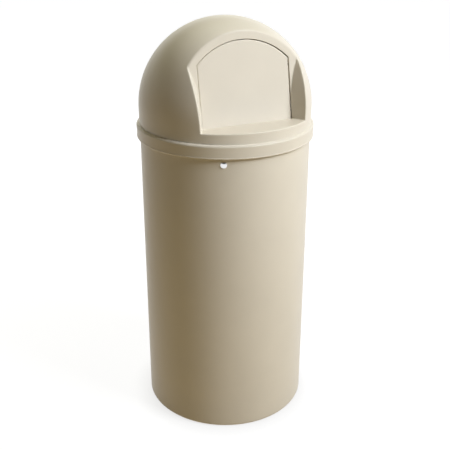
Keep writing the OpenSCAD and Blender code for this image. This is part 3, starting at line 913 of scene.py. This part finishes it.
def along_dome(p, q, r, count):
    """Points from p to q over a dome of radius r, straight on its map."""
    m = mix(dome_map(p, r), dome_map(q, r), np.linspace(0, 1, count)[:, None, None])
    far, turn = np.hypot(m[..., 0], m[..., 1]), np.arctan2(m[..., 0], -m[..., 1])
    polar = np.minimum(far / r, np.pi / 2)
    z = np.where(far < r * np.pi / 2, DOME_Z + r * np.cos(polar), DOME_Z - (far - r * np.pi / 2))
    return stacked(r * np.sin(polar) * np.sin(turn), -r * np.sin(polar) * np.cos(turn), z)


def run_lengths(lines):
    """Length of each column's line up to each of its points. lines is rows x columns x 3."""
    steps = np.linalg.norm(np.diff(lines, axis=0), axis=-1)
    return np.concatenate([np.zeros((1, lines.shape[1])), np.cumsum(steps, 0)])


def at_lengths(lines, lengths):
    """Points at given lengths along each column's line."""
    run = run_lengths(lines)
    out = np.empty((len(lengths), lines.shape[1], 3))
    for k in range(lines.shape[1]):
        for axis in range(3):
            out[:, k, axis] = np.interp(lengths[:, k], run[:, k], lines[:, k, axis])
    return out


def corner_cut(a, corner, b, reach, share):
    """Point of a rounded corner, share of the way from its start to its end."""
    start, end = corner + unit(a - corner) * reach, corner + unit(b - corner) * reach
    return (1 - share) ** 2 * start + 2 * share * (1 - share) * corner + share**2 * end


class HoodHalf:
    """Right half of the hood as rows of points, with how much each point is rubbed.

    Columns go round the recess: along the ledge from its middle, up the side wall, over the arch to its top.
    Rows go from the collar over the dome, down the recess, through the door opening and back inside.
    """

    def __init__(self):
        self.rows, self.wear = [], []
        self.set_columns()
        self.set_base()
        self.set_opening()
        self.set_back()
        self.set_azimuths()
        self.add_dome()
        self.add_faces()
        self.add_opening_edge()
        self.add_inside()
        self.add_collar()

    def add(self, points, wear=0.0):
        self.rows.append(points)
        self.wear.append(wear + np.zeros(self.count))

    def set_columns(self):
        """Columns close together at the recess's corners, and its edge outside and inside."""
        ends = np.array([0.0, 1])
        _, corner, shoulder, _ = recess_outline(DOME_R, 0, ends, ends, ends)
        sill_len, side_len = corner[0] * 1.1, np.linalg.norm(shoulder - corner)
        sill = 1 - graded(sill_len, FINE_COLUMN, COARSE_COLUMN)[::-1] / sill_len
        up = graded(side_len / 2, FINE_COLUMN, COARSE_COLUMN) / side_len
        side = np.concatenate([up, 1 - up[-2::-1]])
        arch = graded(ARCH_LEN, 0.9, 4.5) / ARCH_LEN
        self.shares = sill, side, arch
        self.corner = len(sill) - 1
        self.shoulder = self.corner + len(side) - 1
        self.count = self.shoulder + len(arch)
        index = np.arange(self.count)
        self.is_sill = index < self.corner
        self.is_side = ~self.is_sill & (index <= self.shoulder)
        self.edge = recess_outline(DOME_R, 0, *self.shares)
        self.inner_edge = recess_outline(DOME_IN_R, FRAME_WALL, *self.shares)

    def set_base(self):
        """Where the ledge and the walls end at the door, and where the frame starts."""
        edge, corner, shoulder = self.edge, self.corner, self.shoulder
        self.base_y = -SILL_Y - FACE_GAP * math.cos(LEAN)
        across = edge[self.is_sill, 0] / edge[corner, 0]
        self.base = edge.copy()
        self.base[self.is_sill] = on_ledge(across * wall_x(self.base_y, SILL_Z, 0), self.base_y, 0)
        share = (edge[:, 2] - edge[corner, 2]) / (edge[shoulder, 2] - edge[corner, 2])
        self.side_up = (mix(SILL_Z, edge[shoulder, 2], share) - SILL_Z) / math.cos(LEAN)
        depth = np.where(self.side_up > GAP_FADE, 0, -FACE_GAP * (1 - self.side_up / GAP_FADE))
        side = from_frame(0, depth, self.side_up)
        side[:, 0] = wall_x(side[:, 1], side[:, 2], 0)
        self.base[self.is_side] = side[self.is_side]
        self.base[shoulder] = edge[shoulder]
        near_ledge = (self.is_sill | self.is_side) & (self.side_up < NEAR_LEDGE)
        self.base[near_ledge] = pulled(self.base[near_ledge], recess_faces)

    def set_opening(self):
        """Front edge of the door opening, at the frame's face and under the ledge."""
        edge, corner, shoulder = self.edge, self.corner, self.shoulder
        first = math.acos(OPENING_HALF / OPENING_R)
        turn = mix(first, np.pi / 2, self.shares[2])
        shoulder_up = DOOR_ARCH_UP + OPENING_R * math.sin(first)
        side_up = self.side_up * shoulder_up / frame_up(edge[shoulder])
        self.flange_drop = np.interp(edge[:, 0], [edge[corner, 0] * 0.9, edge[corner, 0] * 0.96],
                                     [LEDGE_FLANGE, FRAME_WALL])
        self.opening = from_frame(self.base[:, 0], -FACE_GAP, -self.flange_drop)
        arch_x, arch_up = arc(0, DOOR_ARCH_UP, OPENING_R, turn).T
        self.opening[shoulder:] = from_frame(arch_x, 0, arch_up)
        self.opening[self.is_side] = from_frame(OPENING_HALF, 0, side_up)[self.is_side]
        self.opening[shoulder] = from_frame(OPENING_HALF, 0, shoulder_up)
        self.opening[corner] = from_frame(OPENING_HALF, -FACE_GAP / 2, -FRAME_WALL / 2)

    def set_back(self):
        """Back of the opening, then the crease where the wall behind the recess begins."""
        opening, corner, shoulder = self.opening, self.corner, self.shoulder
        back = from_frame(self.base[:, 0], -FACE_GAP - FRAME_WALL, -self.flange_drop)
        back[corner:] = from_frame(opening[corner:, 0], FRAME_WALL, frame_up(opening[corner:]))
        back[corner] = from_frame(OPENING_HALF + 1.5, FRAME_WALL / 2, -FRAME_WALL)
        wall = from_frame(0, FRAME_WALL, self.side_up)
        wall[:, 0] = np.maximum(wall_x(wall[:, 1], wall[:, 2], FRAME_WALL), OPENING_HALF + 2)
        crease = on_ledge(self.base[:, 0], self.base_y - FRAME_WALL, FRAME_WALL)
        crease[self.is_side] = wall[self.is_side]
        crease[corner, 2] = on_ledge(0, crease[corner, 1], FRAME_WALL)[2]
        crease[shoulder:] = mix(back, self.inner_edge, 0.1)[shoulder:]
        self.back, self.crease = back, crease

    def set_azimuths(self):
        """Where each column reaches the collar, straight away from a pole on the dome's map."""
        ray = unit(dome_map(self.edge, DOME_R) - MAP_POLE)
        ahead = ray @ MAP_POLE
        collar_far = DOME_R * np.pi / 2 + DOME_Z - SHOULDER_TOP_Z
        reach = -ahead + np.sqrt(ahead**2 - MAP_POLE @ MAP_POLE + collar_far**2)
        hit = MAP_POLE + ray * reach[:, None]
        self.azimuth = np.arctan2(hit[:, 0], -hit[:, 1])
        self.azimuth[0], self.azimuth[-1] = 0, np.pi

    def ring(self, r, z):
        return stacked(r * np.sin(self.azimuth), -r * np.cos(self.azimuth), z)

    def add_dome(self):
        """Outer dome, from the collar to the recess's rounded edge."""
        collar = self.ring(DOME_R, SHOULDER_TOP_Z)
        lines = along_dome(self.edge, collar, DOME_R, 400)
        near = np.repeat(EDGE_STEPS[:, None], self.count, 1)
        far = np.linspace(0, 1, 45)[1:, None] ** 1.2
        lengths = np.concatenate([near, mix(EDGE_STEPS[-1], run_lengths(lines)[-1], far)])
        rows = at_lengths(lines, lengths)
        rows[:len(near)] = pulled(rows[:len(near)], hood_skin)
        rows[-1] = collar
        for points, length in zip(rows[::-1], lengths[::-1]):
            self.add(points, np.exp(-length / EDGE_WEAR))
        self.add(pulled(self.edge, hood_skin), 1)

    def add_faces(self):
        """Faces of the recess, from the edge to the opening, with a round crease at their foot."""
        edge, base, opening = self.edge, self.base, self.opening
        first, second = np.linalg.norm(base - edge, axis=-1), np.linalg.norm(opening - base, axis=-1)
        round_in = np.clip(0.45 * second, 0.05, 2)
        round_in[self.is_sill] = 1.2
        nearest = EDGE_STEPS[-1] + round_in + 0.6
        centre = np.maximum(first, nearest)

        def on_face(length):
            p = mix(edge, base, np.clip(length / np.maximum(first, 1e-9), 0, 1)[:, None])
            walls = self.is_side & (length < first)
            p[walls, 0] = wall_x(p[walls, 1], p[walls, 2], 0)
            past = length > first
            p[past] = mix(base, opening, ((length - first) / np.maximum(second, 1e-9))[:, None])[past]
            return p

        for length in EDGE_STEPS:
            self.add(pulled(on_face(np.full(self.count, length)), hood_skin), math.exp(-length / EDGE_WEAR))
        for share in np.linspace(0, 1, 15)[1:]:
            length = mix(EDGE_STEPS[-1], centre - round_in, share)
            points = on_face(length)
            faces = (self.is_sill | self.is_side) & (length < first)
            points[faces] = pulled(points[faces], recess_faces)
            self.add(points)
        for share in (0.25, 0.5, 0.75, 1.0):
            plain = on_face(centre + round_in * (2 * share - 1))
            bent = corner_cut(edge, base, opening, round_in[:, None], share)
            self.add(np.where((first >= nearest)[:, None], bent, plain), np.where(self.is_sill, 0.5, 0.1))
        end = first + second - OPENING_ROUND * np.minimum(1, second / 4)
        for share in (0.35, 0.7, 1.0):
            self.add(on_face(mix(centre + round_in, end, share)), 0.2)
        last, reach = self.rows[-1], np.minimum(OPENING_ROUND, second * 0.25)[:, None]
        for share in (0.35, 0.7):
            self.add(corner_cut(last, opening, self.back, reach, share), 0.6)

    def add_opening_edge(self):
        """Round the opening's edge to the crease behind it."""
        for share in (0.15, 0.85):
            self.add(mix(self.opening, self.back, share))
        self.add(corner_cut(self.opening, self.back, self.crease, 0.5, 0.5))
        for share in (0.3, 0.65, 1.0):
            self.add(mix(self.back, self.crease, share))

    def add_inside(self):
        """Back of the recess and the dome's inner face, down to the web."""
        for share in np.linspace(0, 1, 12)[1:]:
            p = mix(self.crease, self.inner_edge, share)
            if share < 1:
                wall = wall_x(p[self.is_side, 1], p[self.is_side, 2], FRAME_WALL)
                p[self.is_side, 0] = np.maximum(wall, p[self.is_side, 0])
            self.add(p)
        for points in along_dome(self.inner_edge, self.ring(DOME_IN_R, WEB_Z), DOME_IN_R, 26)[1:]:
            self.add(points)

    def add_collar(self):
        """Web, inner skirt, channel over the tub's rim, curled lip and collar."""
        inside = rounded([
            (DOME_IN_R, WEB_Z, 0), (SKIRT_IN_R, WEB_Z, 1.5), (SKIRT_IN_R, TUB_H - SKIRT_DROP, 1.5),
            (SKIRT_R, TUB_H - SKIRT_DROP, 1.5), (SKIRT_R, TUB_H, 1), (COLLAR_IN_R, TUB_H, 1),
            (COLLAR_IN_R, COLLAR_Z + 2 * LIP_R, 0),
        ], 4, closed=False)[1:]
        curl = arc(LIP_MID_R, COLLAR_Z + LIP_R, LIP_R, np.radians(np.linspace(160, 402, 19)))
        shoulder = arc(COLLAR_R - SHOULDER_R, SHOULDER_Z, SHOULDER_R, np.radians(np.linspace(0, 85, 13)))
        joint = [(DOME_R + 0.8, SHOULDER_TOP_Z - 0.4), (DOME_R, SHOULDER_TOP_Z)]
        for r, z in divided(np.concatenate([inside, curl, shoulder, joint]), 9, closed=False)[:-1]:
            rub = math.exp(-abs(z - COLLAR_Z) / 2) + math.exp(-abs(z - SHOULDER_Z - 0.7 * SHOULDER_R) / 3)
            self.add(self.ring(r, z), rub if r > COLLAR_IN_R else 0)


def pads_and_bores():
    """Pads for the hinge brackets behind the frame, and the bores for the screws' inserts."""
    x0 = LUG_X - PAD_MARGIN
    outline = rectangle(x0, x0 + PLATE_W + 2 * PAD_MARGIN, PLATE_LOW - PAD_MARGIN / 2,
                        PLATE_LOW + PLATE_H + PAD_MARGIN / 2, 1.5)
    pad = flat_slab(outline, [(0, FRAME_WALL - 0.5)] + bevelled(FRAME_WALL, PAD_DEPTH, 0.4, 2)[3:])
    bores = [flat_slab(circle(x, SCREW_UP, INSERT_R + 0.05, 32), [(0, INSERT_LOW), (0, PAD_DEPTH + 1)])
             for x in SCREW_XS]
    return [on_frame(p) for p in both(pad)], [on_frame(b) for bore in bores for b in both(bore)]


def make_hood():
    """Hood: both halves as one closed grid, with pads and bores carved on."""
    half = HoodHalf()
    rows, wear = np.array(half.rows), np.array(half.wear)
    rows = np.concatenate([rows, rows[:, -2:0:-1] * [-1, 1, 1]], 1)
    wear = np.clip(np.concatenate([wear, wear[:, -2:0:-1]], 1).ravel(), 0, 1)
    plain = outward(grid_shell(rows, wrap_rows=True))
    known = {tuple(p): w for p, w in zip(plain[0].round(2), wear)}
    shell = carved(plain, *pads_and_bores())
    wear = [known.get(tuple(p), 0) for p in shell[0].round(2)]
    piece("hood_shell", shell, "hood", "hood_plastic", ["dome_hood"], wear=wear, sharp=50)


# Door

def door_outline(grow, low, corner, shoulder):
    """Outline of the door's face as x and height, anticlockwise from its low left corner."""
    half, r = DOOR_HALF + grow, DOOR_ARCH_R + grow
    turn = math.acos(half / r)
    arch = [(*p, 0) for p in arc(0, DOOR_ARCH_UP, r, np.linspace(turn, np.pi - turn, 66)[1:-1])]
    up = DOOR_ARCH_UP + r * math.sin(turn)
    right = [(half, low, corner), (half, up, shoulder)]
    return rounded([(-half, low, corner), *right, *arch, (-half, up, shoulder)], 4)


def door_panel():
    """Panel with a rounded front edge, from the middle of its face round to its back."""
    rows = [(by, 0) for by in DOOR_FACE_RINGS] + bevelled(0, DOOR_DEPTH, DOOR_EDGE_R, 6)[:7]
    rows += [(0, 5.5), (0, DOOR_DEPTH - 0.5), (0.5, DOOR_DEPTH)]
    sections = []
    for by, depth in rows:
        rounds = max(DOOR_FOOT_R - by, 0.4), max(DOOR_SHOULDER_R - by, 0.4)
        x, up = door_outline(-by, by - DOOR_TUCK, *rounds).T
        sections.append(stacked(x - DOOR_SHIFT, depth, up))
    return grid_shell(sections)


def door_ear():
    """Ear for a hinge bush, rounded round the hinge's axis."""
    foot = HINGE_UP - 4 * EAR_R
    outline = [*arc(HINGE_DEPTH, HINGE_UP, EAR_R, np.linspace(0, np.pi, 17)),
               (HINGE_DEPTH - EAR_R, DOOR_RISE), (DOOR_SKIN, DOOR_RISE - DOOR_SKIN), (DOOR_SKIN, foot),
               (DOOR_DEPTH, foot), (HINGE_DEPTH + EAR_R, HINGE_UP - EAR_R)]
    return side_slab(outline, bevelled(EAR_X, EAR_OUT, 0.5, 2))


def door_pockets():
    """Pockets between the ribs behind the door."""
    cell = (2 * DOOR_HALF - 2 * DOOR_SKIN) / 3
    low = DOOR_SKIN - DOOR_TUCK
    step = (DOOR_RISE - RIB_DROP - low) / 3
    half, r = DOOR_HALF - DOOR_SKIN, DOOR_ARCH_R - DOOR_SKIN
    for column in (-1, 0, 1):
        x0, x1 = column * cell - (cell - DOOR_RIB) / 2, column * cell + (cell - DOOR_RIB) / 2
        x = np.linspace(min(x1, half), max(x0, -half), 15)
        for row in range(3):
            top = np.minimum(low + (row + 1) * step - DOOR_RIB, DOOR_ARCH_UP + np.sqrt(r**2 - x**2))
            bottom = low + row * step
            corners = [(x[-1], bottom, 2), (x[0], bottom, 2), *((a, b, 0) for a, b in zip(x, top))]
            yield flat_slab(rounded(corners, 3), [(POCKET_DRAFT, DOOR_SKIN), (0, DOOR_DEPTH + 1)])


def make_door():
    """Door: a tray-backed panel with side flanges and two ears for the bushes."""
    inner, outer = DOOR_HALF - SIDE_FLANGE_ROOT, DOOR_HALF + SIDE_FLANGE_W
    flange = flat_slab(rectangle(inner, outer, -DOOR_TUCK, SIDE_FLANGE_TOP, 1.5),
                       bevelled(SIDE_FLANGE_FRONT, DOOR_DEPTH, 0.5, 2))
    bore = side_slab(circle(HINGE_DEPTH, HINGE_UP, BUSH_R + 0.02), through(EAR_X, EAR_OUT))
    holes = [flat_slab(circle(x, up, BUMPER_STEM_R + 0.05, 24), through(SIDE_FLANGE_FRONT, DOOR_DEPTH))
             for x, up in BUMPER_PLACES]
    shell = carved(door_panel(), [*both(flange), *both(door_ear())], [*both(bore), *door_pockets(), *holes])
    x, depth, up = shell[0].T
    inside = np.minimum(DOOR_HALF - np.abs(x), DOOR_ARCH_R - np.hypot(x, np.maximum(up - DOOR_ARCH_UP, 0)))
    wear = np.where(depth < DOOR_EDGE_R + 0.1, np.exp(-np.maximum(inside, 0) / EDGE_WEAR), 0)
    piece("door_panel", on_frame(shell), "door", "door_plastic", ["push_door"], sharp=35, wear=wear)


def make_bumpers():
    """Rubber buttons through the side flanges, with a domed head in front and a barb behind."""
    front, r, stem = SIDE_FLANGE_FRONT, SIDE_FLANGE_W / 2 - 0.4, BUMPER_STEM_R
    head = front - FRAME_WALL - 0.3
    profile = rounded([
        (AXIS_R, front - head, 0), (r, front - head, 0.9), (r, front, 0.2), (stem, front, 0),
        (stem, DOOR_DEPTH, 0), (r - 1, DOOR_DEPTH, 0.2), (stem * 0.7, DOOR_DEPTH + head, 0.4),
        (AXIS_R, DOOR_DEPTH + head, 0),
    ], 4, closed=False)
    button = turned(profile, 32)
    shells = [into_frame(button, x, up) for x, up in BUMPER_PLACES]
    piece("bumper_buttons", joined(*shells), "door", "bumper_rubber", ["door_bumpers"])


# Hinge

def make_rod():
    """Rod with bevelled ends."""
    end, length = ROD_R - ROD_BEVEL, 2 * ROD_HALF
    profile = [(AXIS_R, 0), (end, 0), (ROD_R, ROD_BEVEL), (ROD_R, length - ROD_BEVEL), (end, length),
               (AXIS_R, length)]
    shell = along_hinge(turned(profile, 48), -ROD_HALF)
    piece("hinge_bar", shell, "hood", "hinge_steel", ["hinge_rod"], sharp=30)


def make_clips():
    """Push-on clips with a rounded rim and teeth that grip the rod."""
    grip = ROD_R + 0.03
    profile = rounded([(grip, 0.3, 0), (CLIP_R, 0, 0.3), (CLIP_R, CLIP_T, 0.5), (grip, CLIP_T - 0.5, 0)], 3)
    clip = turned(profile, 48, closed=True)
    shells = [along_hinge(clip, LUG_OUT + 0.3, side) for side in (-1, 1)]
    piece("rod_end_clips", joined(*shells), "hood", "spring_steel", ["rod_clips"])


def make_bushes():
    """Flanged plastic bushes in the door's ears."""
    end = EAR_W + BUSH_FLANGE_T
    profile = rounded([
        (BUSH_BORE_R, 0, 0.3), (BUSH_R, 0, 0.3), (BUSH_R, EAR_W, 0), (BUSH_FLANGE_R, EAR_W, 0.25),
        (BUSH_FLANGE_R, end, 0.4), (BUSH_BORE_R, end, 0.3),
    ], 3)
    bush = turned(profile, 48, closed=True)
    for side, name in SIDES:
        piece("bush_" + name, along_hinge(bush, EAR_X, side), "door", "nylon_bush", ["hinge_bush_" + name])


def spring_path():
    """Right-hand spring, as x, depth and height: foot, coil round the rod, bent end in the bracket.
    Also where its coil ends."""
    middle = np.array([HINGE_DEPTH, HINGE_UP])

    def tangent_turn(point, sign):
        away = point - middle
        return math.atan2(away[1], away[0]) + sign * math.acos(COIL_R / np.linalg.norm(away))

    start, end = tangent_turn(SPRING_FOOT, 1), tangent_turn(ANCHOR, -1)
    wound = end - start + 2 * np.pi * (math.ceil((start - end) / (2 * np.pi)) + COIL_TURNS)
    share = np.linspace(0, 1, 24 * (COIL_TURNS + 1))
    end_x = COIL_X + wound / (2 * np.pi) * COIL_PITCH
    turn = start + wound * share
    coil = stacked(mix(COIL_X, end_x, share), *arc(*middle, COIL_R, turn).T)
    foot, anchor = np.array([COIL_X, *SPRING_FOOT]), np.array([end_x, *ANCHOR])
    leg = mix(foot, coil[0], np.linspace(0, 1, 9)[:-1, None])
    bend = np.linspace(0, np.pi / 2, 7)[:, None]
    inwards = unit(anchor - coil[-1])
    corner = anchor + WIRE_BEND_R * ((1 - np.cos(bend)) * [1, 0, 0] - (1 - np.sin(bend)) * inwards)
    return np.concatenate([leg, coil, corner, [[LUG_OUT + 2 * WIRE_R, *ANCHOR]]]), end_x


def make_springs():
    """Torsion springs between the bracket and the door, which wind up as it opens; here they are fixed meshes."""
    path, end_x = spring_path()
    right = on_frame(swept(path, WIRE_R, 12, (1, 0, 0)))
    for side, name in SIDES:
        obj = piece("spring_" + name, right if side > 0 else mirrored(right), None, "spring_wire",
                    ["torsion_spring_" + name], sharp=60)
        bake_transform(obj)


def make_brackets():
    """Folded sheet brackets: a screwed plate and a lug with holes for the rod and the spring."""
    plate = flat_slab(rectangle(LUG_X, LUG_X + PLATE_W, PLATE_LOW, PLATE_LOW + PLATE_H, 2),
                      bevelled(PAD_DEPTH, PLATE_BACK, 0.3, 2))
    outline = hull([*circle(HINGE_DEPTH, HINGE_UP, LUG_R), *circle(*ANCHOR, ANCHOR_R),
                    (PAD_DEPTH, PLATE_LOW), (PAD_DEPTH, PLATE_LOW + PLATE_H)])
    lug = side_slab(outline, bevelled(LUG_X, LUG_OUT, 0.3, 2))
    cuts = [side_slab(circle(HINGE_DEPTH, HINGE_UP, ROD_R + 0.05), through(LUG_X, LUG_OUT)),
            side_slab(circle(*ANCHOR, WIRE_R + 0.3, 24), through(LUG_X, LUG_OUT))]
    cuts += [flat_slab(circle(x, SCREW_UP, SCREW_R + 0.1, 32), through(PAD_DEPTH, PLATE_BACK))
             for x in SCREW_XS]
    shell = carved(plate, [lug], cuts)
    for side, name in SIDES:
        piece("bracket_" + name, on_frame(shell if side > 0 else mirrored(shell)), "hood", "plated_steel",
              ["hinge_bracket_" + name], sharp=30)


def at_screws(shell):
    """A shell turned about Z, repeated at the four bracket screws."""
    return joined(*(into_frame(shell, side * x, SCREW_UP) for side in (-1, 1) for x in SCREW_XS))


def make_screws():
    """Pan-headed screws with a cross recess, in the brackets."""
    top = PLATE_BACK + SCREW_HEAD_H
    count = int((PLATE_BACK - INSERT_LOW) / SCREW_PITCH) - 1
    thread = [(SCREW_R - 0.3 * (i % 2), INSERT_LOW + 0.5 + SCREW_PITCH * i) for i in range(count)]
    head = rounded([(SCREW_R, PLATE_BACK, 0), (SCREW_HEAD_R, PLATE_BACK, 0.2), (SCREW_HEAD_R, top, 1.3),
                    (AXIS_R, top, 0)], 5, closed=False)
    profile = [(AXIS_R, INSERT_LOW + 0.3), *thread, (SCREW_R, PLATE_BACK - 0.1), *head]
    cross = [level_slab(rectangle(-a, a, -b, b, 0.2), [(0.12, top - CROSS_DEPTH), (0, top + 1)])
             for a, b in ((CROSS_HALF, CROSS_SLOT), (CROSS_SLOT, CROSS_HALF))]
    screw = carved(turned(profile, 40), cuts=cross)
    piece("pan_screws", at_screws(screw), "hood", "plated_steel", ["bracket_screws"], sharp=35)


def make_inserts():
    """Brass inserts with grooved outsides."""
    depths = np.linspace(INSERT_LOW, PAD_DEPTH, 2 * INSERT_GROOVES + 1)
    outer = [(INSERT_R - 0.25 * (i % 2), d) for i, d in enumerate(depths)]
    profile = outer + [(SCREW_R + 0.05, PAD_DEPTH), (SCREW_R + 0.05, INSERT_LOW)]
    insert = turned(profile, 40, closed=True)
    piece("screw_inserts", at_screws(insert), "hood", "brass_insert", ["threaded_inserts"])


# Hold-downs

def bolt_axes():
    """Direction out of the tub and direction across, at each bolt."""
    return [((math.cos(a), math.sin(a), 0), (-math.sin(a), math.cos(a), 0)) for a in BOLT_ANGLES]


def at_bolts(shell):
    """A shell drawn with Z out of the tub, repeated at the three bolts."""
    return joined(*(moved(shell, np.multiply(out, TUB_R) + [0, 0, BOLT_Z], across, (0, 0, 1), out)
                    for out, across in bolt_axes()))


def make_bolts():
    """Round-headed bolts with a square neck and a threaded shank."""
    crown = BOLT_HEAD_H - BOLT_RIM_H
    ball_r = (BOLT_HEAD_R**2 + crown**2) / (2 * crown)
    turns = np.linspace(0.003, math.asin((BOLT_HEAD_R - 0.15) / ball_r), 24)
    head = [(ball_r * math.sin(t), BOLT_HEAD_H - ball_r * (1 - math.cos(t))) for t in turns]
    head += [(BOLT_HEAD_R, BOLT_RIM_H - 0.1), (BOLT_HEAD_R, 0.15), (BOLT_HEAD_R - 0.2, 0), (BOLT_R, 0)]
    end = TUB_R - LEAF_FACE_R + LEAF_T + WASHER_T + NUT_H + 1
    count = int((end - TUB_WALL) / BOLT_PITCH)
    thread = [(BOLT_R - 0.35 * (i % 2), -TUB_WALL - BOLT_PITCH * i) for i in range(count)]
    profile = head + thread + [(BOLT_R - 0.6, -end), (AXIS_R, -end)]
    neck = level_slab(rectangle(-BOLT_R, BOLT_R, -BOLT_R, BOLT_R, 0.4),
                      [(0.2, -TUB_WALL + 1), (0, -TUB_WALL + 1.2), (0, 0.1)])
    bolt = carved(turned(profile, 64), adds=[neck])
    piece("bolt_heads_and_shanks", at_bolts(bolt), "tub", "bright_bolt", ["hold_down_bolts"], sharp=30)


def make_washers():
    low, hole = WASHER_LOW, BOLT_R + 0.15
    ring = rounded([(hole, low, 0.2), (WASHER_R, low, 0.3), (WASHER_R, low + WASHER_T, 0.3),
                    (hole, low + WASHER_T, 0.2)], 2)
    washer = turned(ring, 48, closed=True)
    piece("flat_washers", at_bolts(washer), "tub", "plated_steel", ["hold_down_washers"], sharp=35)


def make_nuts():
    """Nuts: a turned blank with a bevelled end, kept within a hexagon."""
    bore, blank_r, back = BOLT_R + 0.05, NUT_R + 0.3, WASHER_LOW - NUT_H
    blank = turned([(bore, back), (NUT_R * 0.86, back), (blank_r, back + 0.9), (blank_r, WASHER_LOW),
                    (bore, WASHER_LOW)], 50, closed=True)
    nut = carved(blank, within=[level_slab(circle(0, 0, NUT_R, 6), through(back, WASHER_LOW))])
    piece("hexagon_nuts", at_bolts(nut), "tub", "plated_steel", ["hold_down_nuts"], sharp=25)


def leaf_shell():
    """Leaf in radius, across and height: folded strip with rounded bends and a hole for the bolt."""
    back_r, nose_z = LEAF_NOSE_R - LEAF_NOSE_OUT, TUB_H - SKIRT_DROP / 2
    path = rounded([
        (LEAF_FACE_R, BOLT_Z - LEAF_DROP, 0), (LEAF_FACE_R, BOLT_Z + LEAF_FOLDS[0], 3),
        (back_r, BOLT_Z + LEAF_FOLDS[1], 3), (back_r, nose_z - LEAF_NOSE_SLOPES[0], 2),
        (LEAF_NOSE_R, nose_z - LEAF_NOSE_HALF, 2), (LEAF_NOSE_R, nose_z + LEAF_NOSE_HALF, 2),
        (back_r - LEAF_T, nose_z + LEAF_NOSE_SLOPES[1], 0),
    ], 4, closed=False)
    along = unit(np.gradient(path, axis=0))
    behind = path + LEAF_T * stacked(-along[:, 1], along[:, 0])
    strip = flat_slab(np.concatenate([path, behind[::-1]]), bevelled(-LEAF_W / 2, LEAF_W / 2, 0.25, 2))
    hole_r = BOLT_R + 0.3
    hole = moved(turned([(AXIS_R, 0), (hole_r, 0), (hole_r, 30), (AXIS_R, 30)], 32),
                 (TUB_R - 20, 0, BOLT_Z), (0, 1, 0), (0, 0, 1), (1, 0, 0))
    return carved(strip, cuts=[hole])


def make_leaves():
    leaf = leaf_shell()
    for name, (out, across) in zip(("front", "right", "rear"), bolt_axes()):
        shell = moved(leaf, (0, 0, 0), out, across)
        piece("leaf_" + name, shell, "tub", "spring_steel", ["hold_down_leaf_" + name], sharp=30)


make_tub()
make_hood()
make_door()
make_bumpers()
make_rod()
make_clips()
make_bushes()
make_springs()
make_brackets()
make_screws()
make_inserts()
make_bolts()
make_washers()
make_nuts()
make_leaves()
